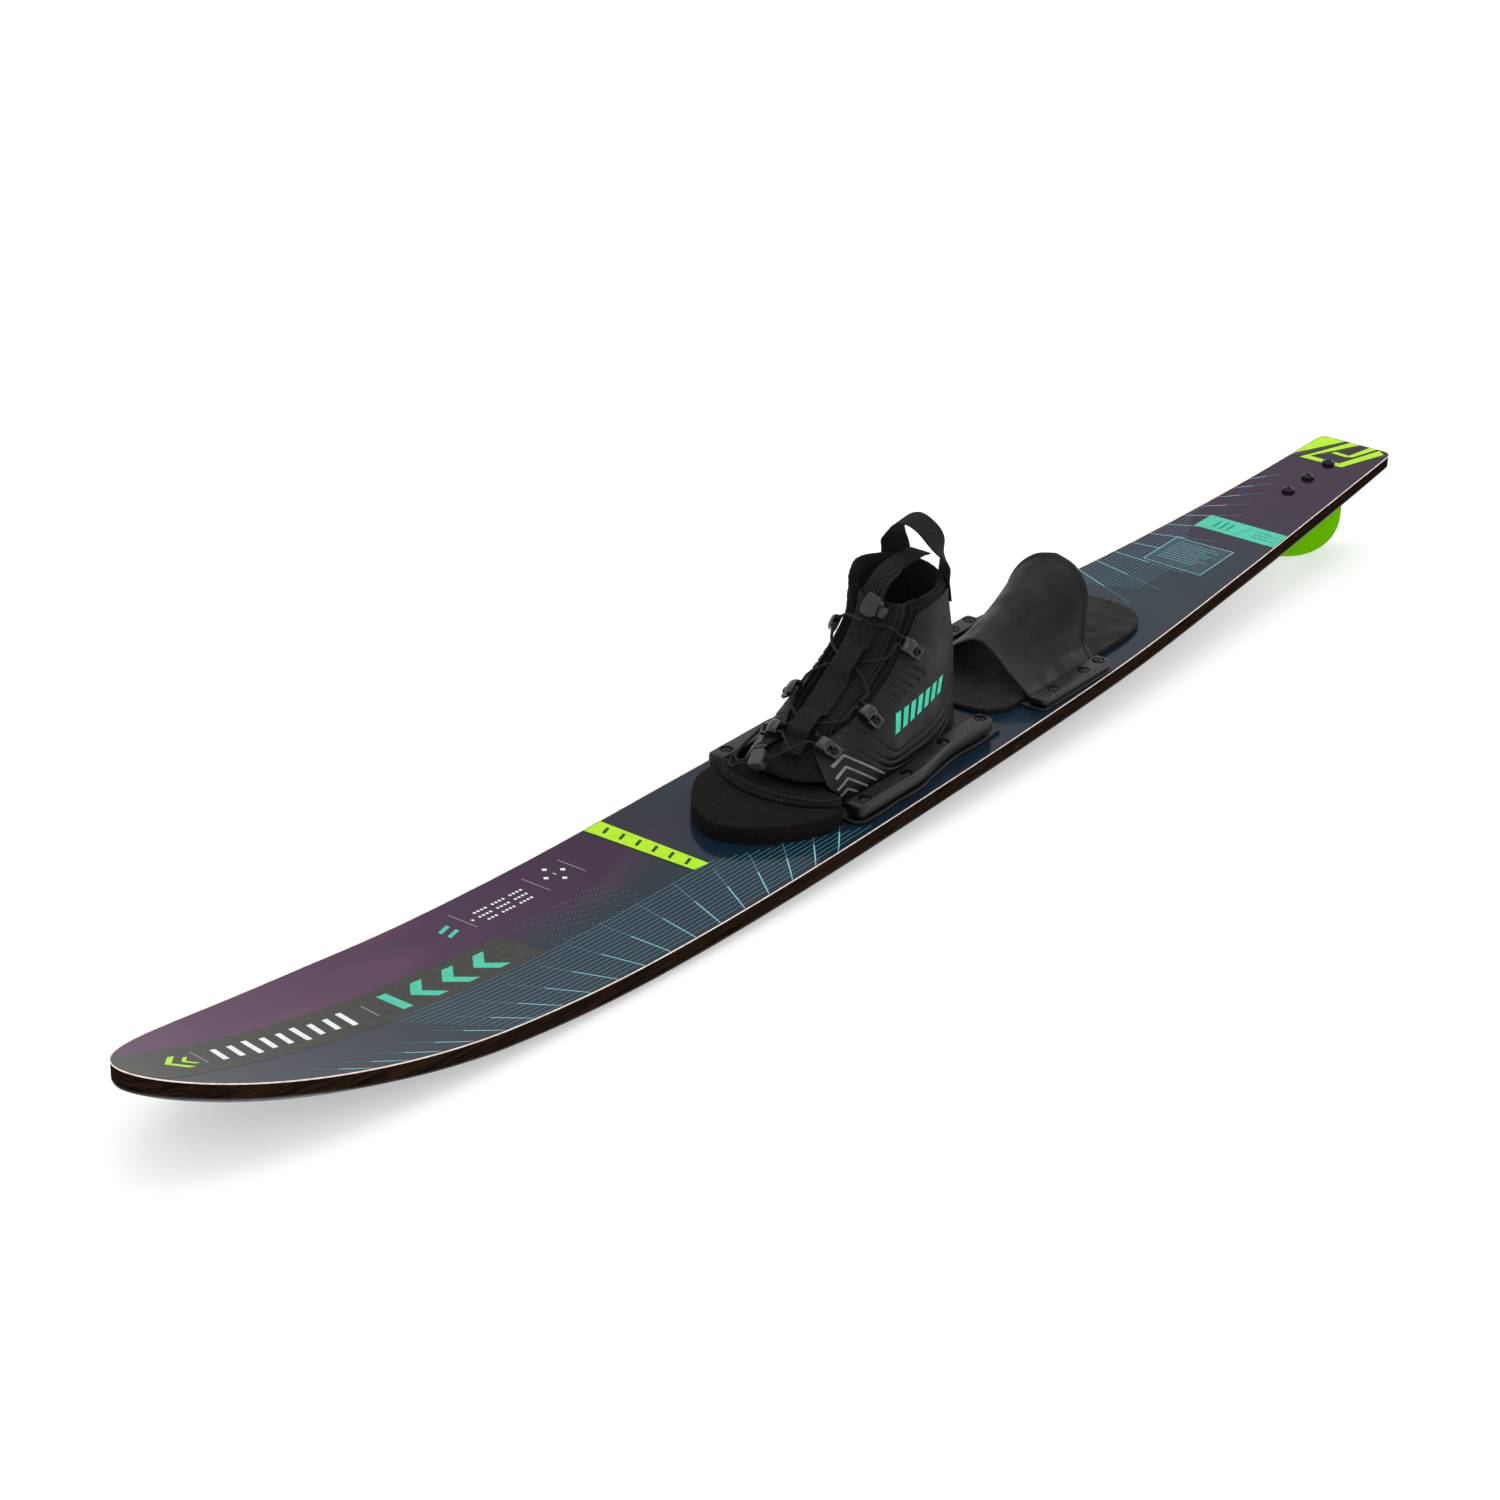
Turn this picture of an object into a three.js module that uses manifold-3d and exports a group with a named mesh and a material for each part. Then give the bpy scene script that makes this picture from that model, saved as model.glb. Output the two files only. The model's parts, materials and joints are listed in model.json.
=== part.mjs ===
// A slalom water ski: one rockered ski with a green fin, a lace-up front boot on screwed rails,
// and a rubber toe strap behind it. Millimetres, +Z up.
//
// Everything is laid out in the ski's own frame: +X to the tip, +Y to the skier's left, z = 0 on the
// flat middle of the deck, x = 0 half way along the ski. At the end the whole ski is pitched so that
// it lies on a floor as a real one does, on its belly and the lowest point of its fin.
import * as THREE from 'three';
import { mergeVertices } from 'three/addons/utils/BufferGeometryUtils.js';
import Module from 'manifold-3d';

const wasm = await Module();
wasm.setup();

// ---------------------------------------------------------------- driving dimensions
const GAP = 0.3; // clearance kept between pieces that lie on each other

const SKI_LENGTH = 1700;
const TAIL_X = -SKI_LENGTH / 2;
const TIP_X = SKI_LENGTH / 2;
const TIP_ROUND_LENGTH = 290; // the nose is half an ellipse this long
const TAIL_CORNER = 9;
const TIP_RISE = 89;
const TIP_RISE_START = 150;
const TAIL_RISE = 15.5;
const TAIL_RISE_START = -400;
const SKI_THICKNESS = 20.3;
const END_TAPER = 5.5; // how much thinner the ski is at its very ends
const TOP_SHEET = 0.8;
const BASE_SHEET = 1.2;
const BASE_CONCAVE = 4;
const BEVEL_RISE = 5;

const SCREW_HOLE_R = 2.3;
const SCREW_R = 2;
const SCREW_HEAD_R = 4.2;
const COUNTERBORE_R = 4.7;
const CORE_HOLE_DEPTH = 12.6;

const PLATE_TOP = 3.3; // the front plate lies from GAP to here
const FLANGE_LOW = 3.6; // the boot shell's flange is held between the plate and the rails
const FLANGE_HIGH = 6.2;
const RAIL_LOW = 6.5;
const RAIL_HIGH = 17;
const RAIL_WIDTH = 17;
const FRONT_RAIL_ENDS = [-80, 125];
const FRONT_SCREWS = [110, 52, -14, -71];
const PAD_TOP = 15;
const SOLE_TOP = 17.8;

const SHELL_THICKNESS = 2.8;
const LINER_GAP = 1.3;
const LINER_THICKNESS = 4.2;
const LACE_R = 1.3;
const LACE_SIDES = 8;
const LACE_STEPS = 126;

const REAR_PLATE_TOP = 2.3;
const STRAP_THICKNESS = 2.2;
const REAR_RAIL_LOW = 5.1;
const REAR_RAIL_HIGH = 10;
const REAR_RAIL_ENDS = [-257, -147];
const REAR_SCREWS = [-173, -222, -247];
const REAR_PAD_TOP = 5.3;

const FIN_SCREWS = [-791, -749, -710];

// ---------------------------------------------------------------- small helpers
const V = (x, y, z) => new THREE.Vector3(x, y, z);
const P2 = (x, y) => new THREE.Vector2(x, y);
const lerp = THREE.MathUtils.lerp;
const range = (count) => Array.from({ length: count }, (_, i) => i);
const mirrorY = (p) => V(p.x, -p.y, p.z);
const SIDES = [
  { name: 'left', sign: 1 },
  { name: 'right', sign: -1 },
];

// A curve y(x) through points in order of x, with no overshoot between them.
function smooth(points) {
  const n = points.length;
  const slope = range(n - 1).map((i) => (points[i + 1][1] - points[i][1]) / (points[i + 1][0] - points[i][0]));
  const tangent = range(n).map((i) => {
    if (i === 0) return slope[0];
    if (i === n - 1) return slope[n - 2];
    if (slope[i - 1] * slope[i] <= 0) return 0;
    return (2 * slope[i - 1] * slope[i]) / (slope[i - 1] + slope[i]);
  });
  return (x) => {
    let i = 0;
    while (i < n - 2 && x > points[i + 1][0]) i += 1;
    const h = points[i + 1][0] - points[i][0];
    const t = THREE.MathUtils.clamp((x - points[i][0]) / h, 0, 1);
    const a = (1 + 2 * t) * (1 - t) ** 2 * points[i][1] + t * (1 - t) ** 2 * h * tangent[i];
    const b = t * t * (3 - 2 * t) * points[i + 1][1] + t * t * (t - 1) * h * tangent[i + 1];
    return a + b;
  };
}

// Turns every face outward if the closed mesh is inside out.
function outward(geometry) {
  const p = geometry.attributes.position;
  const index = geometry.index.array;
  const [a, b, c] = [V(), V(), V()];
  let volume = 0;
  for (let i = 0; i < index.length; i += 3) {
    a.fromBufferAttribute(p, index[i]);
    b.fromBufferAttribute(p, index[i + 1]);
    c.fromBufferAttribute(p, index[i + 2]);
    volume += a.dot(b.cross(c));
  }
  if (volume < 0) {
    for (let i = 0; i < index.length; i += 3) {
      [index[i + 1], index[i + 2]] = [index[i + 2], index[i + 1]];
    }
  }
  return geometry;
}

function bare(geometry) {
  const copy = geometry.clone();
  for (const name of Object.keys(copy.attributes)) {
    if (name !== 'position') copy.deleteAttribute(name);
  }
  return mergeVertices(copy, 1e-4);
}

const mirrored = (geometry) => outward(bare(geometry).applyMatrix4(new THREE.Matrix4().makeScale(1, -1, 1)));

function fromFaces(points, faces) {
  const geometry = new THREE.BufferGeometry().setFromPoints(points);
  geometry.setIndex(faces.flat());
  return outward(mergeVertices(geometry, 1e-4));
}

// A body through closed rings of equally many points, with flat ends.
function loft(rings) {
  const n = rings[0].length;
  const points = rings.flat();
  const faces = [];
  for (let r = 0; r < rings.length - 1; r += 1) {
    for (let i = 0; i < n; i += 1) {
      const [a, b] = [r * n + i, r * n + ((i + 1) % n)];
      faces.push([a, b, b + n], [a, b + n, a + n]);
    }
  }
  const middle = (ring) => ring.reduce((sum, p) => sum.add(p), V(0, 0, 0)).divideScalar(n);
  const [first, last] = [points.length, points.length + 1];
  points.push(middle(rings[0]), middle(rings[rings.length - 1]));
  const end = (rings.length - 1) * n;
  for (let i = 0; i < n; i += 1) {
    const j = (i + 1) % n;
    faces.push([first, j, i], [last, end + i, end + j]);
  }
  return fromFaces(points, faces);
}

// A skin with thickness: outer and inner are grids [row][column] of points. A closed skin joins its
// last column to its first.
function shell(outer, inner, closed = false) {
  const [rows, columns] = [outer.length, outer[0].length];
  const points = [...outer.flat(), ...inner.flat()];
  const faces = [];
  const at = (side, r, c) => side * rows * columns + r * columns + (c % columns);
  const quad = (a, b, c, d) => faces.push([a, b, c], [a, c, d]);
  const spans = closed ? columns : columns - 1;
  for (let c = 0; c < spans; c += 1) {
    for (let r = 0; r < rows - 1; r += 1) {
      quad(at(0, r, c), at(0, r, c + 1), at(0, r + 1, c + 1), at(0, r + 1, c));
      quad(at(1, r, c), at(1, r + 1, c), at(1, r + 1, c + 1), at(1, r, c + 1));
    }
    quad(at(0, 0, c), at(1, 0, c), at(1, 0, c + 1), at(0, 0, c + 1));
    const top = rows - 1;
    quad(at(0, top, c), at(0, top, c + 1), at(1, top, c + 1), at(1, top, c));
  }
  if (!closed) {
    const last = columns - 1;
    for (let r = 0; r < rows - 1; r += 1) {
      quad(at(0, r, 0), at(0, r + 1, 0), at(1, r + 1, 0), at(1, r, 0));
      quad(at(0, r, last), at(1, r, last), at(1, r + 1, last), at(0, r + 1, last));
    }
  }
  return fromFaces(points, faces);
}

function toSolid(geometry) {
  const merged = bare(geometry);
  const vertProperties = new Float32Array(merged.attributes.position.array);
  const triVerts = new Uint32Array(merged.index.array);
  return new wasm.Manifold(new wasm.Mesh({ numProp: 3, vertProperties, triVerts }));
}

function fromSolid(solid) {
  const mesh = solid.getMesh();
  const geometry = new THREE.BufferGeometry();
  geometry.setAttribute('position', new THREE.BufferAttribute(mesh.vertProperties, 3));
  geometry.setIndex(new THREE.BufferAttribute(mesh.triVerts, 1));
  return geometry;
}

const cut = (body, ...tools) => fromSolid(tools.reduce((left, tool) => left.subtract(toSolid(tool)), toSolid(body)));
const join = (body, ...more) => fromSolid(more.reduce((sum, piece) => sum.add(toSolid(piece)), toSolid(body)));

// A plan outline raised from one height to another.
function slab(outline, low, high, bevel = 0) {
  const shape = new THREE.Shape(outline);
  const geometry = new THREE.ExtrudeGeometry(shape, {
    depth: high - low - 2 * bevel,
    bevelEnabled: bevel > 0,
    bevelThickness: bevel,
    bevelSize: bevel,
    bevelOffset: -bevel,
    bevelSegments: 1,
    steps: 1,
  });
  return geometry.translate(0, 0, low + bevel);
}

// An upright round bar, for screws' holes.
function bar(radius, x, y, low, high, sides = 8) {
  const geometry = new THREE.CylinderGeometry(radius, radius, high - low, sides);
  return geometry.rotateX(Math.PI / 2).translate(x, y, (low + high) / 2);
}

// A screw turned about z: its head's flat underside is at z = 0 and its shank hangs below.
function screwGeometry(shankR, shankLength, headR, headHeight) {
  const profile = [
    P2(0, -shankLength),
    P2(shankR, -shankLength),
    P2(shankR, 0),
    P2(headR, 0),
    P2(headR, headHeight * 0.5),
    P2(headR * 0.6, headHeight),
    P2(0, headHeight),
  ];
  return new THREE.LatheGeometry(profile, 8).rotateX(Math.PI / 2);
}

// Places a shape made about the origin with its own x, y and z along three directions at a point.
function placed(geometry, origin, ex, ey, ez) {
  const matrix = new THREE.Matrix4().makeBasis(ex, ey, ez).setPosition(origin);
  return geometry.applyMatrix4(matrix);
}

// ---------------------------------------------------------------- materials
const material = (color, roughness, metalness = 0) => new THREE.MeshStandardMaterial({ color, roughness, metalness });
const MATERIALS = {
  core: material(0x2a2120, 0.45),
  deck: material(0x3a3550, 0.12),
  base: material(0x24222a, 0.3),
  fin: material(0x9be018, 0.35),
  steel: material(0x26272a, 0.3, 0.9),
  plate: material(0x191a1c, 0.5),
  foam: material(0x2c2522, 0.95),
  rail: material(0x17181a, 0.45),
  rubber: material(0x232326, 0.6),
  neoprene: material(0x151517, 0.85),
  mesh: material(0x1b1d20, 0.9),
  webbing: material(0x121214, 0.8),
  cord: material(0x0f0f10, 0.7),
  hardware: material(0x2a2a2c, 0.4),
};

// ---------------------------------------------------------------- the ski's shape
const flare = smooth([
  [-850, 38.5],
  [-700, 46],
  [-500, 59],
  [-250, 77],
  [0, 84.5],
  [200, 87],
  [400, 86],
  [550, 82.5],
  [700, 77],
  [850, 74],
]);

function halfWidth(x) {
  const intoTip = Math.max(0, (x - (TIP_X - TIP_ROUND_LENGTH)) / TIP_ROUND_LENGTH);
  const intoCorner = Math.max(0, TAIL_X + TAIL_CORNER - x);
  const corner = TAIL_CORNER - Math.sqrt(Math.max(0, TAIL_CORNER ** 2 - intoCorner ** 2));
  return flare(x) * Math.sqrt(Math.max(0, 1 - intoTip ** 2)) - corner;
}

function deckHeight(x) {
  const tip = Math.max(0, (x - TIP_RISE_START) / (TIP_X - TIP_RISE_START));
  const tail = Math.max(0, (TAIL_RISE_START - x) / (TAIL_RISE_START - TAIL_X));
  return TIP_RISE * tip ** 3 + TAIL_RISE * tail ** 1.8;
}

const thickness = (x) => SKI_THICKNESS - END_TAPER * Math.abs(x / TIP_X) ** 4;

// The underside's height at a place across the ski: hollow in the middle, bevelled at the edges.
function baseHeight(x, across) {
  const half = halfWidth(x);
  const flatEdge = half * 0.88;
  const middle = deckHeight(x) - thickness(x);
  if (Math.abs(across) <= flatEdge) {
    const hollow = BASE_CONCAVE * Math.min(1, half / 87) ** 2;
    return middle + hollow * (1 - (across / flatEdge) ** 2);
  }
  const rise = BEVEL_RISE * Math.min(1, half / 60);
  return middle + (rise * (Math.abs(across) - flatEdge)) / (half - flatEdge);
}

const STATIONS = [
  ...range(3).map((i) => TAIL_X + TAIL_CORNER * (1 - Math.cos((i * Math.PI) / 6)) ** 1.5),
  ...range(13).map((i) => lerp(TAIL_X + TAIL_CORNER, TIP_X - TIP_ROUND_LENGTH, i / 13)),
  ...range(13).map((i) => TIP_X - TIP_ROUND_LENGTH + TIP_ROUND_LENGTH * Math.sin((i * Math.PI) / 25.2)),
];
const ACROSS = [-1, -0.88, -0.5, 0, 0.5, 0.88, 1];

const underside = (x, lift) => ACROSS.map((f) => V(x, f * halfWidth(x), baseHeight(x, f * halfWidth(x)) + lift));
const topLine = (x, drop) => [1, 0, -1].map((f) => V(x, f * halfWidth(x), deckHeight(x) - drop));

const screwHoles = (places, low, high) => places.map(([x, y]) => bar(SCREW_HOLE_R, x, y, low, high));

// ---------------------------------------------------------------- rails and their screws
// A front rail's centre line bends outward from the heel to the ball of the foot.
const railMiddle = (x) => 58.7 + 8.8 * THREE.MathUtils.smoothstep(x, -22, 48);
const rearRailMiddle = () => 66;

function railOutline(ends, middle, half, sign) {
  const steps = 8;
  const along = range(steps + 1).map((i) => lerp(ends[0], ends[1], i / steps));
  const edge = (x, side) => P2(x, sign * (middle(x) + side * half));
  const inner = along.map((x) => edge(x, -1));
  const outer = along.map((x) => edge(x, 1)).reverse();
  const corner = 4;
  inner[0].x += corner;
  outer[steps].x += corner;
  inner[steps].x -= corner;
  outer[0].x -= corner;
  const rear = [P2(ends[0], outer[steps].y - sign * corner), P2(ends[0], inner[0].y + sign * corner)];
  const front = [P2(ends[1], inner[steps].y + sign * corner), P2(ends[1], outer[0].y - sign * corner)];
  return [...inner, ...front, ...outer, ...rear];
}

const frontScrewPlaces = (sign) => FRONT_SCREWS.map((x) => [x, sign * railMiddle(x)]);
const rearScrewPlaces = (sign) => REAR_SCREWS.map((x) => [x, sign * rearRailMiddle()]);
const bindingScrewPlaces = [
  ...SIDES.flatMap(({ sign }) => frontScrewPlaces(sign)),
  ...SIDES.flatMap(({ sign }) => rearScrewPlaces(sign)),
];
const finScrewPlaces = FIN_SCREWS.map((x) => [x, 0]);

function rail(ends, middle, low, high, places, sign, boreDepth) {
  const body = slab(railOutline(ends, middle, RAIL_WIDTH / 2, sign), low, high, 1.2);
  const bores = places.map(([x, y]) => bar(COUNTERBORE_R, x, y, high - boreDepth, high + 1, 12));
  return cut(body, ...screwHoles(places, low - 1, high + 1), ...bores);
}

// ---------------------------------------------------------------- the boot's outer surface
// At every height the boot's plan is a rounded oval that widens toward the toe. A place on it is
// given by an angle, 0 at the toe, 90 at the left side and 180 at the heel, and by its height.
const bootFront = smooth([[12, 147], [20, 143], [30, 128], [46, 105], [71, 62], [103, 22], [128, 7], [160, 3]]);
const bootBack = smooth([[12, -90], [28, -87.5], [45, -87], [70, -83], [100, -75], [129, -67], [160, -62]]);
const bootHalfWidth = smooth([[12, 54.5], [30, 51], [45, 48], [61, 45], [85, 41], [105, 38], [125, 36.5], [160, 37]]);
const bootTaper = smooth([[12, 0.12], [45, 0.1], [100, 0], [160, 0]]);
const BOOT_POWER = 2.6;
const CUFF_SPREAD = 8;

function bootPoint(angle, height) {
  const t = THREE.MathUtils.degToRad(angle);
  const [front, back] = [bootFront(height), bootBack(height)];
  const along = Math.cos(t);
  const oval = (1 - Math.abs(along) ** BOOT_POWER) ** (1 / BOOT_POWER);
  const y = Math.sign(Math.sin(t)) * bootHalfWidth(height) * oval * (1 + bootTaper(height) * along);
  return V((front + back) / 2 + ((front - back) / 2) * along, y, height);
}

function bootNormal(angle, height) {
  const step = 1.5;
  const around = bootPoint(angle + step, height).sub(bootPoint(angle - step, height));
  const up = bootPoint(angle, height + step).sub(bootPoint(angle, height - step));
  return around.cross(up).normalize();
}

// The point a given distance outside the boot's outer surface, or inside it if negative.
const bootAt = (angle, height, distance = 0) => (
  bootPoint(angle, height).addScaledVector(bootNormal(angle, height), distance)
);

// The shell's free edge runs from the toe-side corner past the three lace guides to the back of the
// cuff. Each row gives the edge's angle and height, and the angle straight below it at the flange.
const SHELL_EDGE = [
  [10, 43, 46],
  [20, 52, 58],
  [32, 64, 72],
  [40, 82, 84],
  [45, 103, 95],
  [52, 121, 106],
  [78, 128, 122],
  [125, 133, 150],
  [180, 137, 180],
];
// The liner shows at the toe and above the shell at the cuff, higher on the right than on the left.
const LINER_EDGE = {
  left: [
    [0, 37, 0], [9, 42.5, 40], [19, 51.5, 58], [31, 63.5, 72], [39, 82, 84], [44, 104, 95],
    [50, 124, 106], [66, 133, 118], [100, 135, 140], [140, 139, 160], [180, 146, 180],
  ],
  right: [
    [0, 37, 0], [9, 42.5, 40], [19, 51.5, 58], [31, 63.5, 72], [39, 82, 84], [44, 104, 95],
    [50, 132, 106], [60, 142, 118], [95, 148, 140], [140, 147, 160], [180, 146, 180],
  ],
};

// The right side's copy of a point on the left. The cuff's front right stands open by a few mm.
function onRight(p, angle, height) {
  const cuff = THREE.MathUtils.smoothstep(height, 108, 138) * (1 - THREE.MathUtils.smoothstep(angle, 70, 120));
  return V(p.x, -p.y - CUFF_SPREAD * cuff, p.z);
}

function edgeCurve(rows, column) {
  return smooth(rows.map((row, i) => [i / (rows.length - 1), row[column]]));
}

// Points of a boot layer over one side: rows go up from its base to its edge, columns go from the
// toe to the heel. Each point is [angle, height].
function sideDomain(edge, columns, rows, baseAt) {
  const [angleTop, heightTop, angleBase] = [0, 1, 2].map((column) => edgeCurve(edge, column));
  return range(rows).map((r) => range(columns).map((c) => {
    const v = c / (columns - 1);
    const u = r / (rows - 1);
    return [lerp(angleBase(v), angleTop(v), u), lerp(baseAt(angleBase(v)), heightTop(v), u)];
  }));
}

// ---------------------------------------------------------------- ski pieces
function topSheet() {
  const rings = STATIONS.map((x) => [...topLine(x, 0), ...topLine(x, TOP_SHEET).reverse()]);
  const places = [...bindingScrewPlaces, ...finScrewPlaces];
  return cut(loft(rings), ...screwHoles(places, -5, 30));
}

function core() {
  const lift = BASE_SHEET + GAP;
  const rings = STATIONS.map((x) => [...topLine(x, TOP_SHEET + GAP), ...underside(x, lift)]);
  const blind = screwHoles(bindingScrewPlaces, -CORE_HOLE_DEPTH, 5);
  return cut(loft(rings), ...blind, ...screwHoles(finScrewPlaces, -30, 30));
}

function baseSheet() {
  const rings = STATIONS.map((x) => [...underside(x, BASE_SHEET).reverse(), ...underside(x, 0)]);
  return cut(loft(rings), ...screwHoles(finScrewPlaces, -30, 30));
}

const FIN_FRONT = -600;
const FIN_BACK = -822;
const finTop = (x) => baseHeight(x, 0) - BASE_CONCAVE * (halfWidth(x) / 87) ** 2 - GAP;
const FIN_LOWEST = V(-790, 0, -76);

function fin() {
  const topEdge = range(7).map((i) => lerp(FIN_BACK, FIN_FRONT, i / 6));
  const outline = [
    P2(FIN_FRONT, finTop(FIN_FRONT) - 1.5),
    ...new THREE.SplineCurve([
      P2(-628, -27), P2(-660, -42), P2(-716, -62), P2(-758, -73), P2(FIN_LOWEST.x, FIN_LOWEST.z), P2(-811, -73),
      P2(-825, -63), P2(-828, -46), P2(-824, -24),
    ]).getPoints(20),
    P2(FIN_BACK, finTop(FIN_BACK) - 1.5),
    ...topEdge.slice(1, -1).map((x) => P2(x, finTop(x) - 1.5)),
  ];
  const blade = new THREE.ExtrudeGeometry(new THREE.Shape(outline), {
    depth: 2, bevelEnabled: true, bevelThickness: 1.5, bevelSize: 1.5, bevelOffset: -1.5, bevelSegments: 1,
  });
  blade.translate(0, 0, -1).rotateX(Math.PI / 2);
  const foot = (half, low, high) => topEdge.map((x) => [
    V(x, half, finTop(x) - low), V(x, -half, finTop(x) - low), V(x, -half, finTop(x) - high), V(x, half, finTop(x) - high),
  ]);
  const flange = loft(foot(9, 3.2, 0));
  const bosses = FIN_SCREWS.map((x) => bar(5, x, 0, finTop(x) - 13, finTop(x) - 1));
  const holes = FIN_SCREWS.map((x) => bar(SCREW_HOLE_R, x, 0, finTop(x) - 10, finTop(x) + 5));
  return cut(join(blade, flange, ...bosses), ...holes);
}

function finScrew(x) {
  const seat = deckHeight(x) + GAP + 0.4;
  const length = seat - (finTop(x) - 9.5);
  return screwGeometry(SCREW_R, length, 6.3, 3.6).translate(x, 0, seat);
}

// ---------------------------------------------------------------- front binding
function frontPlate() {
  const edge = (x) => railMiddle(x) + RAIL_WIDTH / 2 + 1.5;
  const steps = 10;
  const side = range(steps + 1).map((i) => lerp(-88, 121, i / steps));
  const outline = [
    P2(-97, -edge(-88) + 9), ...side.map((x) => P2(x, -edge(x))), P2(127, -edge(121) + 6),
    P2(127, edge(121) - 6), ...side.map((x) => P2(x, edge(x))).reverse(), P2(-97, edge(-88) - 9),
  ];
  const places = SIDES.flatMap(({ sign }) => frontScrewPlaces(sign));
  return cut(slab(outline, GAP, PLATE_TOP), ...screwHoles(places, -2, 6));
}

// The foot's outline on the pad, kept inside the shell, from the toe side round the heel and back.
function footOutline(height, inset, firstAngle) {
  const steps = 18;
  return range(steps + 1).map((i) => {
    const p = bootAt(lerp(firstAngle, 360 - firstAngle, i / steps), height, -inset);
    return P2(p.x, p.y);
  });
}

// Between the wide apron and the part under the foot the pad and the sole pass between the shell's
// front corners.
const PAD_NECK = [P2(129, 60), P2(121, 52), P2(119.5, 33)];
const PAD_NECK_BACK = PAD_NECK.map((p) => P2(p.x, -p.y)).reverse();

function footPad() {
  const apron = new THREE.SplineCurve([
    P2(134, -63), P2(160, -60), P2(188, -44), P2(209, -22), P2(217, 0), P2(209, 22), P2(188, 44), P2(160, 60),
    P2(134, 63),
  ]).getPoints(22);
  const outline = [...apron, ...PAD_NECK, ...footOutline(PAD_TOP, SHELL_THICKNESS + 1.2, 54), ...PAD_NECK_BACK];
  const whole = slab(outline, GAP, PAD_TOP, 1.5);
  const plateRoom = slab([P2(-120, -90), P2(128, -90), P2(128, 90), P2(-120, 90)], -2, FLANGE_LOW);
  return cut(whole, plateRoom);
}

function bootSole() {
  const nose = new THREE.SplineCurve([
    P2(134, -61), P2(150, -42), P2(159, -20), P2(161, 0), P2(159, 20), P2(150, 42), P2(134, 61),
  ]).getPoints(20);
  const outline = [...nose, ...PAD_NECK, ...footOutline(SOLE_TOP, SHELL_THICKNESS + 1.2, 54), ...PAD_NECK_BACK];
  return slab(outline, PAD_TOP + GAP, SOLE_TOP, 0.6);
}

// The shell's flange lies flat under the rails and turns up into the wall above the plate.
function flangeReach(angle) {
  const beside = THREE.MathUtils.smoothstep(angle, 40, 50) * (1 - THREE.MathUtils.smoothstep(angle, 128, 152));
  return beside * 14;
}

function bootShell() {
  const columns = 18;
  const wall = sideDomain(SHELL_EDGE, columns, 8, () => 12);
  const angleBase = edgeCurve(SHELL_EDGE, 2);
  const column = (c) => angleBase(c / (columns - 1));
  // Below the wall: the turned-up foot at two heights and the flange's outer edge.
  const foot = (c, inside) => {
    const angle = column(c);
    const reach = flangeReach(angle);
    const out = inside ? -SHELL_THICKNESS : 0;
    const base = bootAt(angle, 12, out);
    const away = V(Math.cos(THREE.MathUtils.degToRad(angle)) * 0.3, 1, 0).normalize();
    const edge = base.clone().addScaledVector(away, reach);
    const low = inside ? FLANGE_LOW : FLANGE_HIGH;
    const bend = base.clone().addScaledVector(away, reach * 0.22);
    return [V(edge.x, edge.y, low), V(bend.x, bend.y, inside ? low : low + 0.4)];
  };
  const layer = (inside) => {
    const distance = inside ? -SHELL_THICKNESS : 0;
    const feet = range(columns).map((c) => foot(c, inside));
    const flange = [feet.map((f) => f[0]), feet.map((f) => f[1])];
    const rise = (turn) => wall.map((row) => row.map(([angle, height]) => (
      turn(bootAt(angle, height, distance), angle, height)
    )));
    const left = [...flange, ...rise((p) => p)];
    const right = [...flange.map((row) => row.map(mirrorY)), ...rise(onRight)];
    return left.map((row, r) => [...row, ...right[r].slice(0, -1).reverse()]);
  };
  const body = shell(layer(false), layer(true));
  const places = SIDES.flatMap(({ sign }) => frontScrewPlaces(sign));
  const guideHoles = GUIDES.map((guide) => guide.hole());
  const railRoom = SIDES.map(({ sign }) => (
    slab(railOutline(FRONT_RAIL_ENDS, railMiddle, RAIL_WIDTH / 2 + GAP + 0.1, sign), FLANGE_HIGH, RAIL_HIGH + 2)
  ));
  return cut(body, ...screwHoles(places, 1, 9), ...guideHoles, ...railRoom);
}

function bootLiner() {
  // The toe's hem stands clear of the sole, so that toes can come out under it.
  const hem = (angle) => lerp(24.5, SOLE_TOP + GAP, THREE.MathUtils.smoothstep(angle, 30, 56));
  const halves = SIDES.map(({ name, sign }) => {
    const domain = sideDomain(LINER_EDGE[name], 18, 8, hem);
    return (distance) => domain.map((row) => row.map(([angle, height]) => {
      const p = bootAt(angle, height, distance);
      p.z = Math.max(p.z, hem(angle));
      return sign > 0 ? p : onRight(p, angle, height);
    }));
  });
  const outside = -(SHELL_THICKNESS + LINER_GAP);
  const layer = (distance) => {
    const [left, right] = halves.map((half) => half(distance));
    return left.map((row, r) => [...row, ...right[r].slice(1, -1).reverse()]);
  };
  return shell(layer(outside), layer(outside - LINER_THICKNESS), true);
}

// The tongue swells out to the boot's surface in the throat and tucks under the liner at its sides
// and at the toe.
const TONGUE_LOW = 35;
const TONGUE_HIGH = 131;
const throatAngle = smooth([[37, 0], [42.5, 9], [51.5, 19], [63.5, 31], [82, 39], [104, 44], [124, 50], [131, 52]]);
const tongueAngle = smooth([[35, 22], [42, 27], [52, 35], [64, 45], [82, 53], [104, 58], [131, 62]]);

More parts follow.
